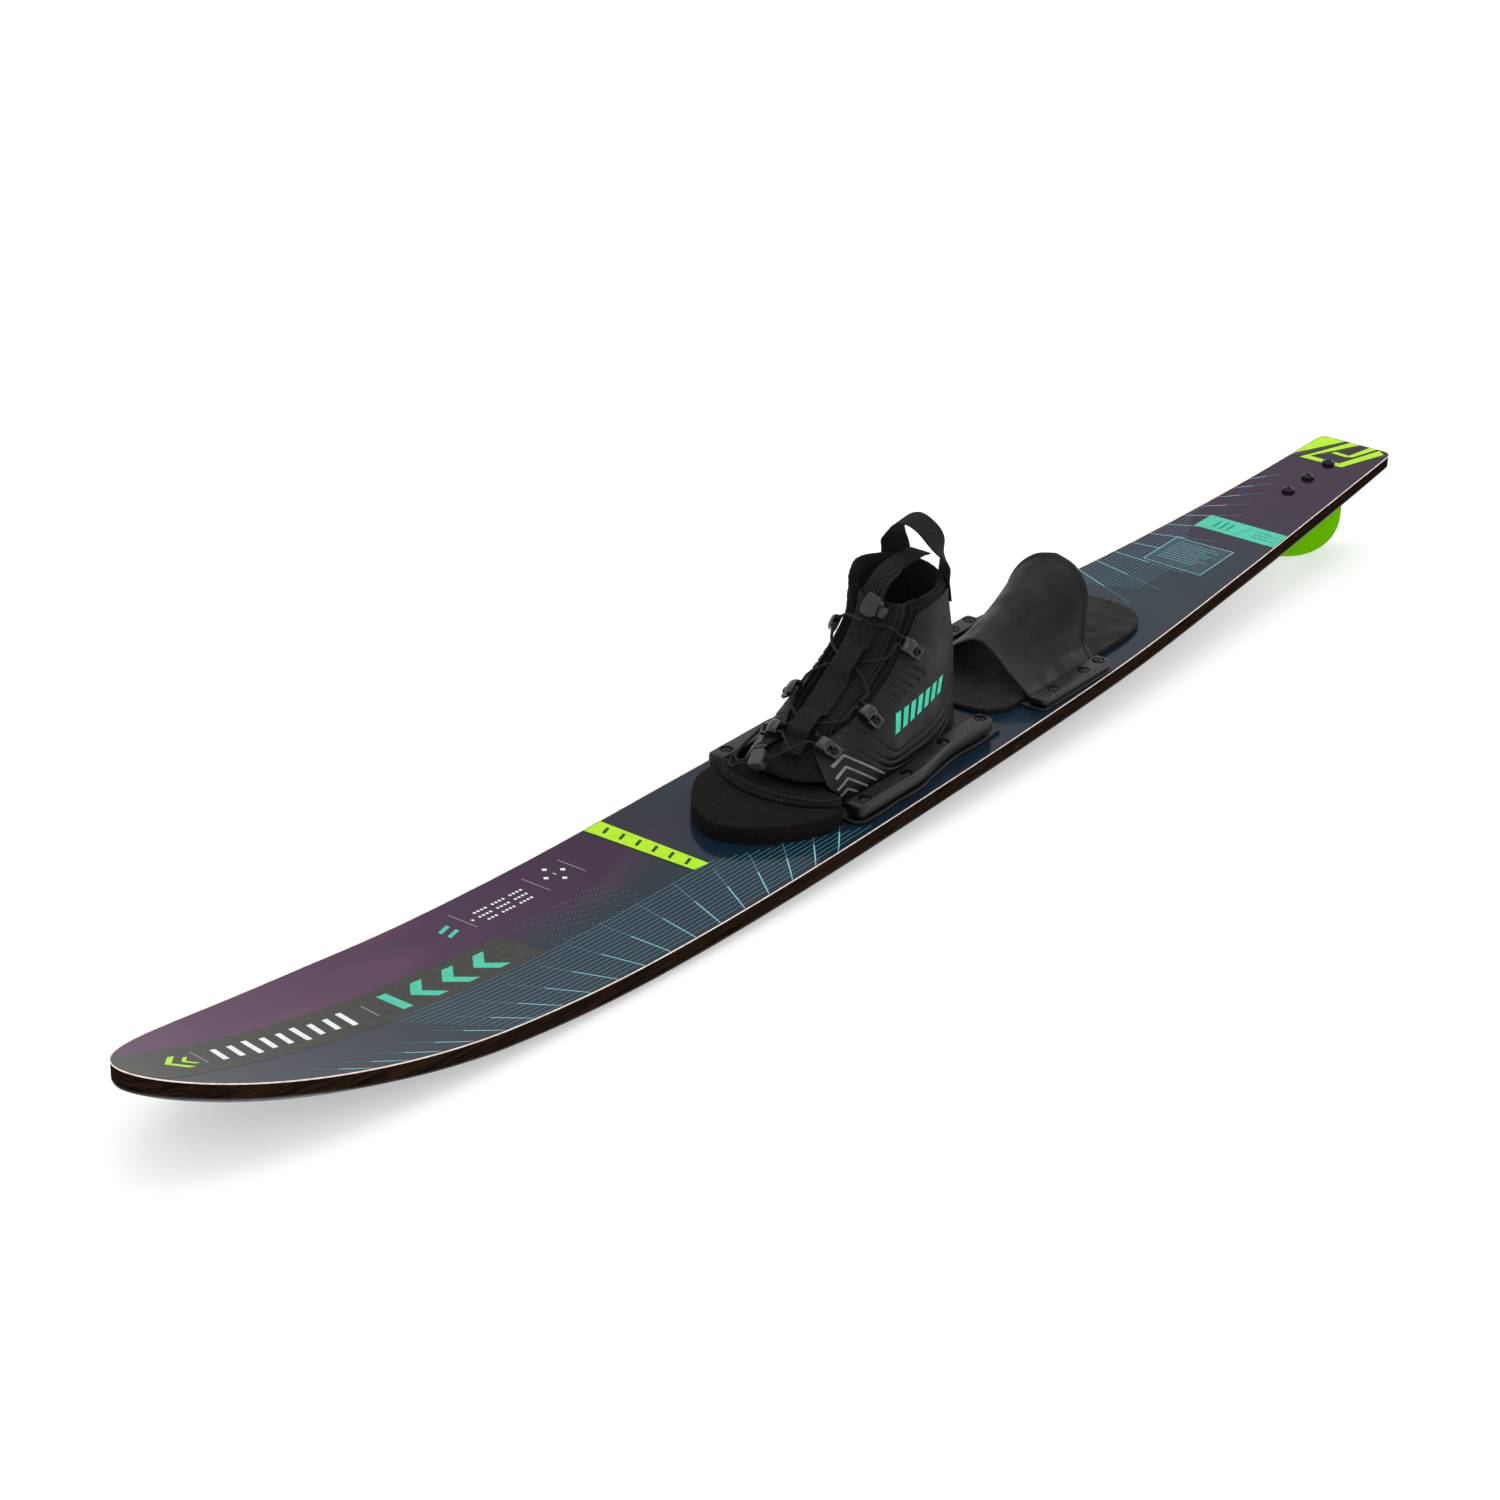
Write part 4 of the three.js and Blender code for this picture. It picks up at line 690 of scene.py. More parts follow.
def foam_paint():
    """Brown-black foam with pale flecks."""
    p = Paint("speckled_foam", srgb(20, 17, 15), 0.9, Specular_IOR_Level=0.08)
    mottle = p.mix(p.noise(220.0, 3.0), srgb(9, 8, 7), srgb(25, 20, 17))
    fleck = p.span(p.cells(360.0), 0.2, 0.1)
    rare = p.span(p.noise(75.0, 2.0), 0.56, 0.66)
    flecked = p.mix(p.math("MULTIPLY", fleck, rare), mottle, srgb(88, 72, 58))
    p.set("Base Color", flecked)
    p.bump(p.noise(900.0, 3.0), 0.25, 0.7)
    return p.material


def grip_paint():
    """Rubber mat with a fine crossed texture."""
    p = Paint("grip_mat", srgb(18, 17, 18), 0.75, Specular_IOR_Level=0.15)
    along = p.axis("X")
    across = p.axis("Y")
    one = p.math("SINE", p.math("MULTIPLY", p.math("ADD", along, across), 2600.0))
    two = p.math("SINE", p.math("MULTIPLY", p.math("SUBTRACT", along, across), 2600.0))
    weave = p.math("MAXIMUM", one, two)
    p.vary(srgb(9, 9, 10), srgb(27, 26, 26), p.span(weave, -0.2, 1.0))
    p.roughen(p.noise(60.0), 0.6, 0.8)
    p.bump(weave, 0.25, 0.8)
    return p.material


def fabric_paint(name, dark, light, scale=700.0, sheen=0.05, depth=0.3, roughness=0.92):
    """Close knitted cloth: a fine crossed weave over soft mottling."""
    p = Paint(name, dark, roughness, Specular_IOR_Level=0.1, Sheen_Weight=sheen, Sheen_Roughness=0.5)
    knit = p.cells(scale, stretch=(1.0, 1.0, 1.4))
    mottle = p.noise(70.0, 3.0)
    p.vary(dark, light, p.span(p.math("ADD", knit, mottle), 0.6, 1.3))
    p.bump(knit, depth, 0.8)
    return p.material


def mesh_paint():
    """Woven sports mesh: rows of small square holes over a dark backing."""
    p = Paint("airmesh", srgb(16, 17, 19), 0.85, Specular_IOR_Level=0.1)
    up = p.math("SUBTRACT", p.axis("Z"), p.math("MULTIPLY", p.axis("X"), 0.6))
    rows = p.math("SINE", p.math("MULTIPLY", up, 2300.0))
    columns = p.math("SINE", p.math("MULTIPLY", p.axis("Y"), 2700.0))
    yarn = p.math("MAXIMUM", rows, columns)
    p.vary(srgb(3, 3, 4), srgb(34, 35, 38), p.span(yarn, -0.3, 0.8))
    p.bump(yarn, 0.4, 0.9)
    return p.material


def webbing_paint():
    p = Paint("webbing", srgb(12, 12, 13), 0.8, Specular_IOR_Level=0.15)
    yarn = p.cells(900.0, stretch=(1.0, 0.6, 1.0))
    p.vary(srgb(6, 6, 7), srgb(24, 24, 26), p.span(yarn, 0.2, 0.7))
    p.bump(yarn, 0.2, 0.8)
    return p.material


def cord_paint():
    p = Paint("lace_cord", srgb(12, 12, 13), 0.7, Specular_IOR_Level=0.15)
    p.vary(srgb(6, 6, 7), srgb(28, 28, 30), p.span(p.cells(1300.0), 0.2, 0.7))
    p.bump(p.cells(1300.0), 0.15, 0.8)
    return p.material


def steel_paint(name="black_steel", color=srgb(24, 24, 27)):
    p = Paint(name, color, 0.24, Metallic=0.9)
    p.vary(color, tuple(1.7 * c for c in color[:3]) + (1.0,), p.noise(300.0, 3.0))
    p.roughen(p.noise(500.0, 3.0), 0.18, 0.34)
    p.bump(p.noise(900.0, 2.0), 0.02, 0.3)
    return p.material


DECK = deck_paint()
# Painted highlight: this pale colour stands in for the light caught along the deck's top edge.
EDGE_HIGHLIGHT_PAINT = print_paint("edge_line", srgb(240, 226, 214), srgb(214, 192, 174), 0.3)
LIME = print_paint("print_lime", srgb(162, 214, 4))
AQUA = print_paint("print_aqua", srgb(62, 180, 150))
WHITE = print_paint("print_white", srgb(214, 218, 218))
OLIVE = print_paint("print_olive", srgb(48, 49, 42), srgb(40, 42, 37))
GREY = print_paint("print_grey", srgb(128, 126, 138))
LINE = print_paint("print_line", srgb(124, 186, 194))
FAINT = print_paint("print_faint_line", srgb(66, 108, 120))
PANEL = print_paint("print_panel", srgb(34, 58, 66), srgb(42, 68, 74))
SIDEWALL = sidewall_paint()
BASE = base_paint()
FIN = fin_paint()
RUBBER = rubber_paint("boot_rubber", srgb(7, 7, 8), srgb(14, 14, 15), 0.5)
STRAP_RUBBER = rubber_paint("strap_rubber", srgb(8, 8, 9), srgb(15, 15, 16), 0.56, 0.04)
RAIL = moulded_paint("rail_nylon", srgb(7, 7, 8), srgb(17, 17, 19), 0.4)
PLATE = moulded_paint("plate_nylon", srgb(8, 8, 9), srgb(15, 15, 16), 0.5)
HARDWARE = moulded_paint("hardware_nylon", srgb(9, 9, 10), srgb(24, 24, 26), 0.26, 0.5)
HARDWARE_GREY = moulded_paint("hardware_grey", srgb(34, 34, 36), srgb(56, 56, 58), 0.36, 0.4)
FOAM = foam_paint()
GRIP = grip_paint()
NEOPRENE = fabric_paint("neoprene", srgb(8, 8, 9), srgb(20, 20, 22))
STITCH = fabric_paint("thread", srgb(48, 42, 38), srgb(74, 66, 60), 1500.0, 0.05, 0.1)
MESH = mesh_paint()
WEBBING = webbing_paint()
CORD = cord_paint()
STEEL = steel_paint()
CHEVRON = print_paint("chevron_grey", srgb(112, 116, 122), srgb(92, 96, 102), 0.5)
BOOT_MARK = print_paint("mark_aqua", srgb(54, 196, 160), None, 0.42)
DARK_MARK = print_paint("mark_dark", srgb(38, 52, 20), srgb(28, 40, 14))
TEAL_MARK = print_paint("mark_teal", srgb(30, 128, 108), srgb(24, 110, 94))


# ---------------------------------------------------------------- the ski
flare = smooth(
    [(-850, 38.5), (-700, 46), (-500, 59), (-250, 77), (0, 84.5)]
    + [(200, 87), (400, 86), (550, 82.5), (700, 77), (850, 74)]
)


def half_width(x):
    x = np.asarray(x, float)
    tip = np.clip((x - (TIP_X - TIP_ROUND)) / TIP_ROUND, 0, 1)
    corner = np.clip(TAIL_X + TAIL_CORNER - x, 0, TAIL_CORNER)
    cut = TAIL_CORNER - np.sqrt(TAIL_CORNER ** 2 - corner ** 2)
    return flare(x) * np.sqrt(1 - tip ** 2) - cut


def deck_height(x):
    x = np.asarray(x, float)
    tip = np.maximum(0, (x - 150) / (TIP_X - 150))
    tail = np.maximum(0, (-400 - x) / (-400 - TAIL_X))
    return 89 * tip ** 3 + 15.5 * tail ** 1.8


def base_height(x, across):
    half = half_width(x)
    flat = 0.88 * half
    middle = deck_height(x) - (20.3 - 5.5 * abs(x / TIP_X) ** 4)
    hollow = 4 * min(1, half / 87) ** 2 * (1 - (across / flat) ** 2)
    bevel = 5 * min(1, half / 60) * (np.abs(across) - flat) / (half - flat)
    return middle + np.where(np.abs(across) <= flat, hollow, bevel)


def stations():
    corner = TAIL_X + TAIL_CORNER * (1 - np.cos(np.linspace(0, math.pi / 2, 9)))
    middle = np.linspace(TAIL_X + TAIL_CORNER, TIP_X - TIP_ROUND, 120)[1:]
    nose = TIP_X - TIP_ROUND + TIP_ROUND * np.sin(np.linspace(0, 1.565, 56))[1:]
    return np.concatenate([corner, middle, nose])


STATIONS = stations()


def across_ring(x, heights):
    """A closed ring across the ski from [share of the half width, height] pairs."""
    half = float(half_width(x))
    return [(x, share * half, z) for share, z in heights]


def ski_pieces():
    wide = np.linspace(-1, 1, 15)

    def deck_ring(x):
        top = float(deck_height(x))
        upper = [(f, top) for f in wide[::-1]]
        return across_ring(x, upper + [(f, top - TOP_SHEET) for f in wide])

    def wall_ring(x):
        top = float(deck_height(x)) - TOP_SHEET - 0.05
        half = float(half_width(x))
        under = np.linspace(-1, 1, 25)
        under = np.sign(under) * np.abs(under) ** 0.8
        low = [(f, float(base_height(x, f * half)) + BASE_SHEET) for f in under]
        lip = min(0.9, half * 0.02)
        edge = low[-1][1]
        side = [(1, edge + lip), (1, lerp(edge, top, 0.5)), (1, top - lip), (1 - lip / half, top)]
        return across_ring(x, low + side + [(0, top)] + [(-f, z) for f, z in side[::-1]])

    def base_ring(x):
        half = float(half_width(x))
        under = np.linspace(-1, 1, 29)
        under = np.sign(under) * np.abs(under) ** 0.8
        low = [(f, float(base_height(x, f * half))) for f in under]
        return across_ring(x, low + [(f, z + BASE_SHEET - 0.02) for f, z in low[::-1]])

    def whole(name, ring, material, slot, node, sharp):
        points, faces = loft([ring(x) for x in STATIONS])
        return piece(name, points, faces, material, slot, sharp, replaces=(node,))

    whole("deck_sheet", deck_ring, DECK, "deck", "top_sheet", 40)
    whole("side_wall", wall_ring, SIDEWALL, "core", "ski_core", 50)
    whole("running_base", base_ring, BASE, "base", "base_sheet", 30)
    # The pale strip round the deck's edge is a painted highlight.
    edge_line()


def edge_line():
    """A pale strip round the whole deck along the top sheet's edge, a painted highlight of that edge."""
    left = [(x, float(half_width(x)), float(deck_height(x))) for x in STATIONS]
    path = np.array(left + [(x, -y, z) for x, y, z in left[::-1]])
    out = unit(np.cross(unit(np.gradient(path, axis=0)), [0, 0, 1.0]))
    profile = [(-0.75, 0.14), (0.0, 0.16), (0.16, 0.05), (0.16, -0.75), (-0.2, -0.85)]
    grid = np.stack([path + out * side + [0, 0, z] for side, z in profile], 1)
    points = grid.reshape(-1, 3)
    faces = quads(len(path), len(profile), wrap_rows=True, wrap_columns=True)
    piece("deck_edge_line", points, faces, EDGE_HIGHLIGHT_PAINT, slot="deck", sharp=50)


def fin_top(x):
    """The height just under the base sheet's flats, either side of its hollow middle."""
    return float(base_height(x, 0.0)) - 4 * (float(half_width(x)) / 87) ** 2 - GAP


def fin_pieces():
    lower = spline(
        [(-600, fin_top(-600) - 1.5), (-628, -27), (-660, -42), (-716, -62), (-758, -73), (-790, -76)]
        + [(-811, -73), (-825, -63), (-828, -46), (-824, -24)],
        90,
    )
    upper = [(x, fin_top(x) - 1.0) for x in np.linspace(-822, -600, 24)]
    outline = anticlockwise(np.vstack([lower, upper]))
    layers = [(-2.45, 2.2), (-2.3, 1.3), (-1.7, 0.5), (-0.9, 0.08), (0, 0), (0.9, 0.08), (1.7, 0.5)]
    layers += [(2.3, 1.3), (2.45, 2.2)]
    rings = []
    for y, inward in layers:
        plan = inset(outline, inward)
        rings.append(np.column_stack([plan[:, 0], np.full(len(plan), y), plan[:, 1]]))
    count = len(outline)
    points = np.vstack(rings)
    faces = quads(len(rings), count, wrap_columns=True)
    faces += [tuple(range(count)), tuple(range(len(points) - count, len(points)))]
    piece("fin_blade", points, faces, FIN, slot="fin", sharp=50, replaces=("fin",))
    foot = []
    for x in np.linspace(-822, -600, 40):
        z = fin_top(x)
        half = 9 * (1 - ((x + 711) / 111) ** 8 * 0.35)
        ring = [(half, 0), (-half, 0), (-half, -2.4), (-3.4, -3.4), (3.4, -3.4), (half, -2.4)]
        foot.append([(x, y, z + drop) for y, drop in ring])
    points, faces = loft(foot)
    piece("fin_foot", points, faces, FIN, slot="fin", sharp=35)


# ---------------------------------------------------------------- screws
def screw_mesh(radius, height, sides=40):
    """A pan head, its flat underside at z = 0; make_screws cuts the cross recess into it."""
    profile = [(0.0, height)]
    profile += [(radius * s, height * (1 - 0.55 * s ** 3)) for s in (0.25, 0.5, 0.7, 0.85, 0.94)]
    profile += [(radius, height * 0.3), (radius, 0.0), (radius * 0.5, -0.6)]
    rings = []
    for r, z in profile[1:]:
        a = np.linspace(0, 2 * math.pi, sides, endpoint=False)
        rings.append(np.column_stack([r * np.cos(a), r * np.sin(a), np.full(sides, z)]))
    return loft(rings)


def cross_tool(radius, height):
    long, wide = radius * 0.56, radius * 0.15
    plan = [(long, wide), (wide, wide), (wide, long), (-wide, long), (-wide, wide), (-long, wide)]
    plan += [(-x, -y) for x, y in plan]
    rings = []
    for share, z in ((0.55, height * 0.3), (1.0, height * 1.2)):
        rings.append([(x * share, y * share, z) for x, y in plan])
    return loft(rings)


# Radius and height of each kind of screw head.
RAIL_HEAD = (4.2, 2.3)
FIN_HEAD = (6.3, 3.6)
GUIDE_HEAD = (3.5, 2.2)


def make_screws():
    """One cut head is made for each size, and every screw is a copy of it."""
    kinds = {}

    def put(node, origin, ez, size, turn):
        if size not in kinds:
            points, faces = screw_mesh(*size)
            kinds[size] = carved(cleaned("head", points, faces, 30), [cross_tool(*size)], 30)
        ex = unit(np.cross([math.sin(turn), math.cos(turn), 0.2], ez))
        matrix = basis(origin, ex, np.cross(ez, ex), ez)
        place(f"{node}_head", kinds[size].copy(), matrix, STEEL, "steel", replaces=(node,))

    up = np.array([0, 0, 1.0])
    for name, sign in SIDES:
        for i, x in enumerate(FRONT_SCREWS):
            origin = (x, sign * float(rail_middle(x)), RAIL_HIGH - 2.4)
            put(f"front_screw_{name}_{i + 1}", origin, up, RAIL_HEAD, 0.7 * i + sign)
        for i, x in enumerate(REAR_SCREWS):
            origin = (x, sign * REAR_MIDDLE, REAR_RAIL_HIGH - 1.6)
            put(f"rear_screw_{name}_{i + 1}", origin, up, RAIL_HEAD, 0.9 * i + sign)
    for i, x in enumerate(FIN_SCREWS):
        origin = (x, 0, float(deck_height(x)) + 0.6)
        put(f"fin_screw_{i + 1}", origin, up, FIN_HEAD, 0.6 * i)
    for guide in GUIDES:
        seat = guide["at"](-8.5, 0, 3.6)
        put(f"guide_screw_{guide['name']}", seat, guide["ez"], GUIDE_HEAD, guide["turn"])


# ---------------------------------------------------------------- rails and plates
def rail_middle(x):
    return 58.7 + 8.8 * step01(x, -22, 48)


def rail_outline(ends, middle, half, sign, corner=4.5):
    """A rail's plan: two edges beside its centre line with round corners."""
    x = np.linspace(ends[0] + corner, ends[1] - corner, 40)
    y = middle(x)
    arc = np.linspace(0, math.pi / 2, 6)
    pts = [(a, b - half) for a, b in zip(x, y)]
    cx, cy = ends[1] - corner, float(middle(ends[1]))
    pts += [(cx + corner * math.sin(a), cy - half + corner * (1 - math.cos(a))) for a in arc]
    pts += [(cx + corner * math.cos(a), cy + half - corner * (1 - math.sin(a))) for a in arc]
    pts += [(a, b + half) for a, b in zip(x[::-1], y[::-1])]
    cx, cy = ends[0] + corner, float(middle(ends[0]))
    pts += [(cx - corner * math.sin(a), cy + half - corner * (1 - math.cos(a))) for a in arc]
    pts += [(cx - corner * math.cos(a), cy - half + corner * (1 - math.sin(a))) for a in arc]
    keep = [pts[0]]
    for p in pts[1:]:
        if math.dist(p, keep[-1]) > 0.05:
            keep.append(p)
    return [(a, sign * b) for a, b in keep]


def rail_pieces():
    def rear_middle(x):
        return REAR_MIDDLE + 0 * np.asarray(x, float)

    sets = (
        ("front", FRONT_RAIL, rail_middle, RAIL_LOW, RAIL_HIGH, FRONT_SCREWS, 2.6),
        ("rear", REAR_RAIL, rear_middle, REAR_RAIL_LOW, REAR_RAIL_HIGH, REAR_SCREWS, 1.8),
    )
    for name, sign in SIDES:
        for which, ends, middle, low, high, places, bevel in sets:
            plan = rail_outline(ends, middle, RAIL_WIDTH / 2, sign)
            points, faces = slab(plan, low, high, bevel, 0.5)
            bores = [rod(x, sign * float(middle(x)), high - bevel, high + 2, 4.9) for x in places]
            seats = [rod(x, sign * float(middle(x)), high - 0.7, high + 2, 6.2) for x in places]
            node = f"{which}_rail_{name}"
            piece(f"{node}_moulding", points, faces, RAIL, "rail", 32, replaces=(node,), cuts=bores + seats)


def plate_pieces():
    steps = np.linspace(-88, 121, 80)
    # The plate's edge is scalloped between the screws, as it shows under the rail.
    wave = 1.4 * np.abs(np.sin((steps + 80) / 205 * math.pi * 4))
    edge = rail_middle(steps) + RAIL_WIDTH / 2 + 0.2 + wave
    right = [(-97, -edge[0] + 9), *zip(steps, -edge), (127, -edge[-1] + 6)]
    plan = right + [(x, -y) for x, y in right[::-1]]
    points, faces = slab(plan, GAP, 3.3, 0.8)
    piece("front_plate_sheet", points, faces, PLATE, "plate", replaces=("front_plate",))
    half = REAR_MIDDLE + RAIL_WIDTH / 2 + 1.5
    back, ahead = REAR_RAIL[0] - 3, REAR_RAIL[1] + 3
    middle = ((back + ahead) / 2, 0)
    plan = superellipse((ahead - back) / 2, half, 24, 96) + np.array(middle)
    points, faces = slab(plan, GAP, REAR_PLATE_TOP, 0.6)
    piece("rear_plate_sheet", points, faces, PLATE, "plate", replaces=("rear_plate",))


# ---------------------------------------------------------------- the boot's outer surface
boot_front = smooth([(12, 147), (20, 143), (30, 128), (46, 105), (71, 62), (103, 22), (128, 7), (160, 3)])
boot_back = smooth([(12, -90), (28, -87.5), (45, -87), (70, -83), (100, -75), (129, -67), (160, -62)])
boot_half = smooth([(12, 54.5), (30, 51), (45, 48), (61, 45), (85, 41), (105, 38), (125, 36.5), (160, 37)])
boot_taper = smooth([(12, 0.12), (45, 0.1), (100, 0), (160, 0)])
BOOT_POWER = 2.6


def boot_point(angle, height):
    """The boot's surface at an angle, 0 at the toe and 180 at the heel, and a height."""
    angle, height = np.broadcast_arrays(np.asarray(angle, float), np.asarray(height, float))
    t = np.radians(angle)
    ahead, astern = boot_front(height), boot_back(height)
    along = np.cos(t)
    oval = np.maximum(0, 1 - np.abs(along) ** BOOT_POWER) ** (1 / BOOT_POWER)
    y = np.sign(np.sin(t)) * boot_half(height) * oval * (1 + boot_taper(height) * along)
    return np.stack([(ahead + astern) / 2 + (ahead - astern) / 2 * along, y, height], -1)


def boot_normal(angle, height):
    angle, height = np.asarray(angle, float), np.asarray(height, float)
    around = boot_point(angle + 1.5, height) - boot_point(angle - 1.5, height)
    up = boot_point(angle, height + 1.5) - boot_point(angle, height - 1.5)
    return unit(np.cross(around, up))


def boot_at(angle, height, distance=0.0):
    distance = np.asarray(distance, float)
    return boot_point(angle, height) + boot_normal(angle, height) * distance[..., None]


def on_right(points, angle, height):
    """The right side's copy of points on the left; the cuff's front right stands open a little."""
    cuff = step01(height, 108, 138) * (1 - step01(angle, 70, 120))
    out = np.array(points, float)
    out[..., 1] = -out[..., 1] - 8 * cuff
    return out


# Upper edges from the toe to the heel: angle, height, and the angle at the foot of that column.
SHELL_EDGE = [
    (10, 43, 46), (20, 52, 58), (32, 64, 72), (40, 82, 84), (45, 103, 95),
    (52, 121, 106), (78, 128, 122), (125, 133, 150), (180, 137, 180),
]
LINER_FRONT = [(0, 37, 0), (9, 42.5, 40), (19, 51.5, 58), (31, 63.5, 72), (39, 82, 84), (44, 104, 95)]
LINER_EDGE = {
    "left": LINER_FRONT + [(50, 124, 106), (66, 133, 118), (100, 135, 140), (140, 139, 160), (180, 146, 180)],
    "right": LINER_FRONT + [(50, 132, 106), (60, 142, 118), (95, 148, 140), (140, 147, 160), (180, 146, 180)],
}


def side_domain(edge, columns, rows, base_at):
    """Angles and heights over one side, from its base up to its edge and from the toe to the heel."""
    share = np.linspace(0, 1, len(edge))
    top_angle, top_height, low_angle = [smooth(list(zip(share, col))) for col in zip(*edge)]
    v = np.linspace(0, 1, columns)[None, :]
    u = np.linspace(0, 1, rows)[:, None]
    low = low_angle(v)
    return lerp(low, top_angle(v), u), lerp(base_at(low), top_height(v), u)


# Rings of the shell's flange: share of its reach, and heights of its underside and its top.
FLANGE_RINGS = ((1.0, 3.6, 6.2), (0.6, 3.6, 6.3), (0.22, 3.6, 6.6), (0.05, 5.5, 8.6))


def boot_shell():
    columns, rows = 190, 112
    angle, height = side_domain(SHELL_EDGE, columns, rows, lambda a: 12 + 0 * a)
    low_angle = angle[0]
    reach = 14 * step01(low_angle, 40, 50) * (1 - step01(low_angle, 128, 152))
    away = unit(np.stack([np.cos(np.radians(low_angle)) * 0.3, 1 + 0 * low_angle, 0 * low_angle], -1))

    def layer(inside):
        depth = -SHELL_THICK if inside else 0.0
        relief = np.zeros_like(angle) if inside else shell_relief(angle, height)
        wall = boot_at(angle, height, depth + relief)
        base = boot_at(low_angle, 12 + 0 * low_angle, depth + 0 * low_angle)
        flange = []
        for share, under, over in FLANGE_RINGS:
            row = base + away * (reach * share)[:, None]
            row[:, 2] = under if inside else over
            flange.append(row)
        left = np.concatenate([flange, wall])
        mirrored = [row * [1, -1, 1] for row in flange]
        right = np.concatenate([mirrored, on_right(wall, angle, height)])
        return np.concatenate([left, right[:, -2::-1]], 1)

    points, faces = skin(layer(False), layer(True))
    piece("boot_shell_rubber", points, faces, RUBBER, "rubber", 48, replaces=("boot_shell",))


def shell_relief(angle, height):
    """Moulded lines: nested curves over the forefoot and round the heel, vents and a crease."""
    p = boot_point(angle, height)
    x, z = p[..., 0], p[..., 2]
    relief = np.zeros_like(x)
    for route in MOULDED_LINES:
        line = spline(route, 8 * len(route), 0.25)
        for start, end in zip(line, line[1:]):
            relief = np.minimum(relief, segment_groove(x, z, start, end, 3.0, 0.9))
    for start, end in VENTS:
        relief = np.minimum(relief, segment_groove(x, z, start, end, 3.4, 1.3))
    for start, end in zip(CREASE, CREASE[1:]):
        relief = np.minimum(relief, segment_groove(x, z, start, end, 3.0, 0.5))
    return relief


def segment_groove(x, z, start, end, width, depth):
    run = np.subtract(end, start)
    along = np.clip(((x - start[0]) * run[0] + (z - start[1]) * run[1]) / (run @ run), 0, 1)
    away = np.hypot(x - start[0] - along * run[0], z - start[1] - along * run[1])
    return -depth * (1 - step01(away, width * 0.1, width * 0.5))


# The moulded lines' routes over the side of the boot, as (x, z).
MOULDED_LINES = [
    [(91, 53), (85, 56), (78, 56.5), (71, 51), (60, 39.8), (50, 30.5), (41, 26.5), (21, 27.2), (-8, 29)]
    + [(-36, 33), (-62, 42), (-80, 56), (-88, 66)],
    [(96, 47), (88, 51.5), (81, 45.5), (69, 34.2), (58, 26), (48, 21.5), (20, 20.8), (-10, 21.5)]
    + [(-38, 25), (-64, 34), (-80, 46), (-89, 57)],
    [(95, 43.5), (88, 43.5), (80, 36), (70, 27.8), (58, 19.5), (46, 15.8), (14, 14.8), (-14, 15)]
    + [(-40, 18), (-66, 26.5), (-82, 38), (-90, 48)],
]
VENTS = [
    ((13, 89), (-8, 75)), ((20, 86.5), (2, 73)), ((27, 83), (11, 70.5)), ((34.5, 79.5), (20, 68)),
    ((41, 76), (30, 66)),
]
CREASE = [(-5, 119), (-26, 104), (-44, 92), (-51, 83)]


def hem(angle):
    """The liner's lower edge: on the sole at the sides, clear of it at the toe."""
    return lerp(24.5, SOLE_TOP + GAP, step01(angle, 30, 56))


def liner():
    columns, rows = 120, 64
    halves = {}
    for name, _ in SIDES:
        angle, height = side_domain(LINER_EDGE[name], columns, rows, hem)
        halves[name] = (angle, height, height[-1:] - height)

    def layer(distance, swell):
        sides = []
        for name, _ in SIDES:
            angle, height, below = halves[name]
            roll = np.exp(-(((below - 4.5) / 3.6) ** 2)) * step01(angle, 34, 44)
            pucker = 0.25 * np.sin(angle * 1.1) * step01(height, 90, 120)
            p = boot_at(angle, height, distance + swell * roll + pucker)
            p[..., 2] = np.maximum(p[..., 2], hem(angle))
            sides.append(p if name == "left" else on_right(p, angle, height))
        return np.concatenate([sides[0], sides[1][:, -2:0:-1]], 1)

    points, faces = skin(layer(LINER_OUT, 1.6), layer(LINER_IN, -2.4), closed=True, rim=0.5)
    obj = piece("boot_liner_padded", points, faces, NEOPRENE, "neoprene", 60, replaces=("boot_liner",))
    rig.padded(obj, fill=0.7)


tongue_angle = smooth([(35, 22), (42, 27), (52, 35), (64, 45), (82, 53), (104, 58), (131, 62)])
throat_angle = smooth(
    [(37, 0), (42.5, 9), (51.5, 19), (63.5, 31), (82, 39), (104, 44), (124, 50), (131, 52)]
)


def tongue():
    rows, columns = 110, 72
    height = np.linspace(35, 131, rows)[:, None] + np.zeros((1, columns))
    angle = np.linspace(-1, 1, columns)[None, :] * tongue_angle(height)
    throat = throat_angle(height)
    inside = 1 - np.clip((np.abs(angle) - throat * 0.4) / np.maximum(1, throat * 0.6 - 4), 0, 1)
    swell = inside * inside * (3 - 2 * inside) * step01(height, 42, 54)
    thick = lerp(1.6, 4.0, step01(height, 35, 52))
    outer = lerp(-9.5, -1.2, swell)
    quilt = 0.5 * np.cos((np.abs(angle) / np.maximum(8, throat)) * math.pi * 2)
    flat = np.abs(angle)
    sign = np.where(angle < 0, -1.0, 1.0)

    def layer(distance):
        p = boot_at(flat, height, distance)
        p[..., 1] *= sign
        return p

    points, faces = skin(layer(outer + quilt * step01(height, 50, 60)), layer(outer - thick))
    obj = piece("tongue_mesh", points, faces, MESH, "mesh", 60, replaces=("tongue",))
    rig.padded(obj, fill=0.4)


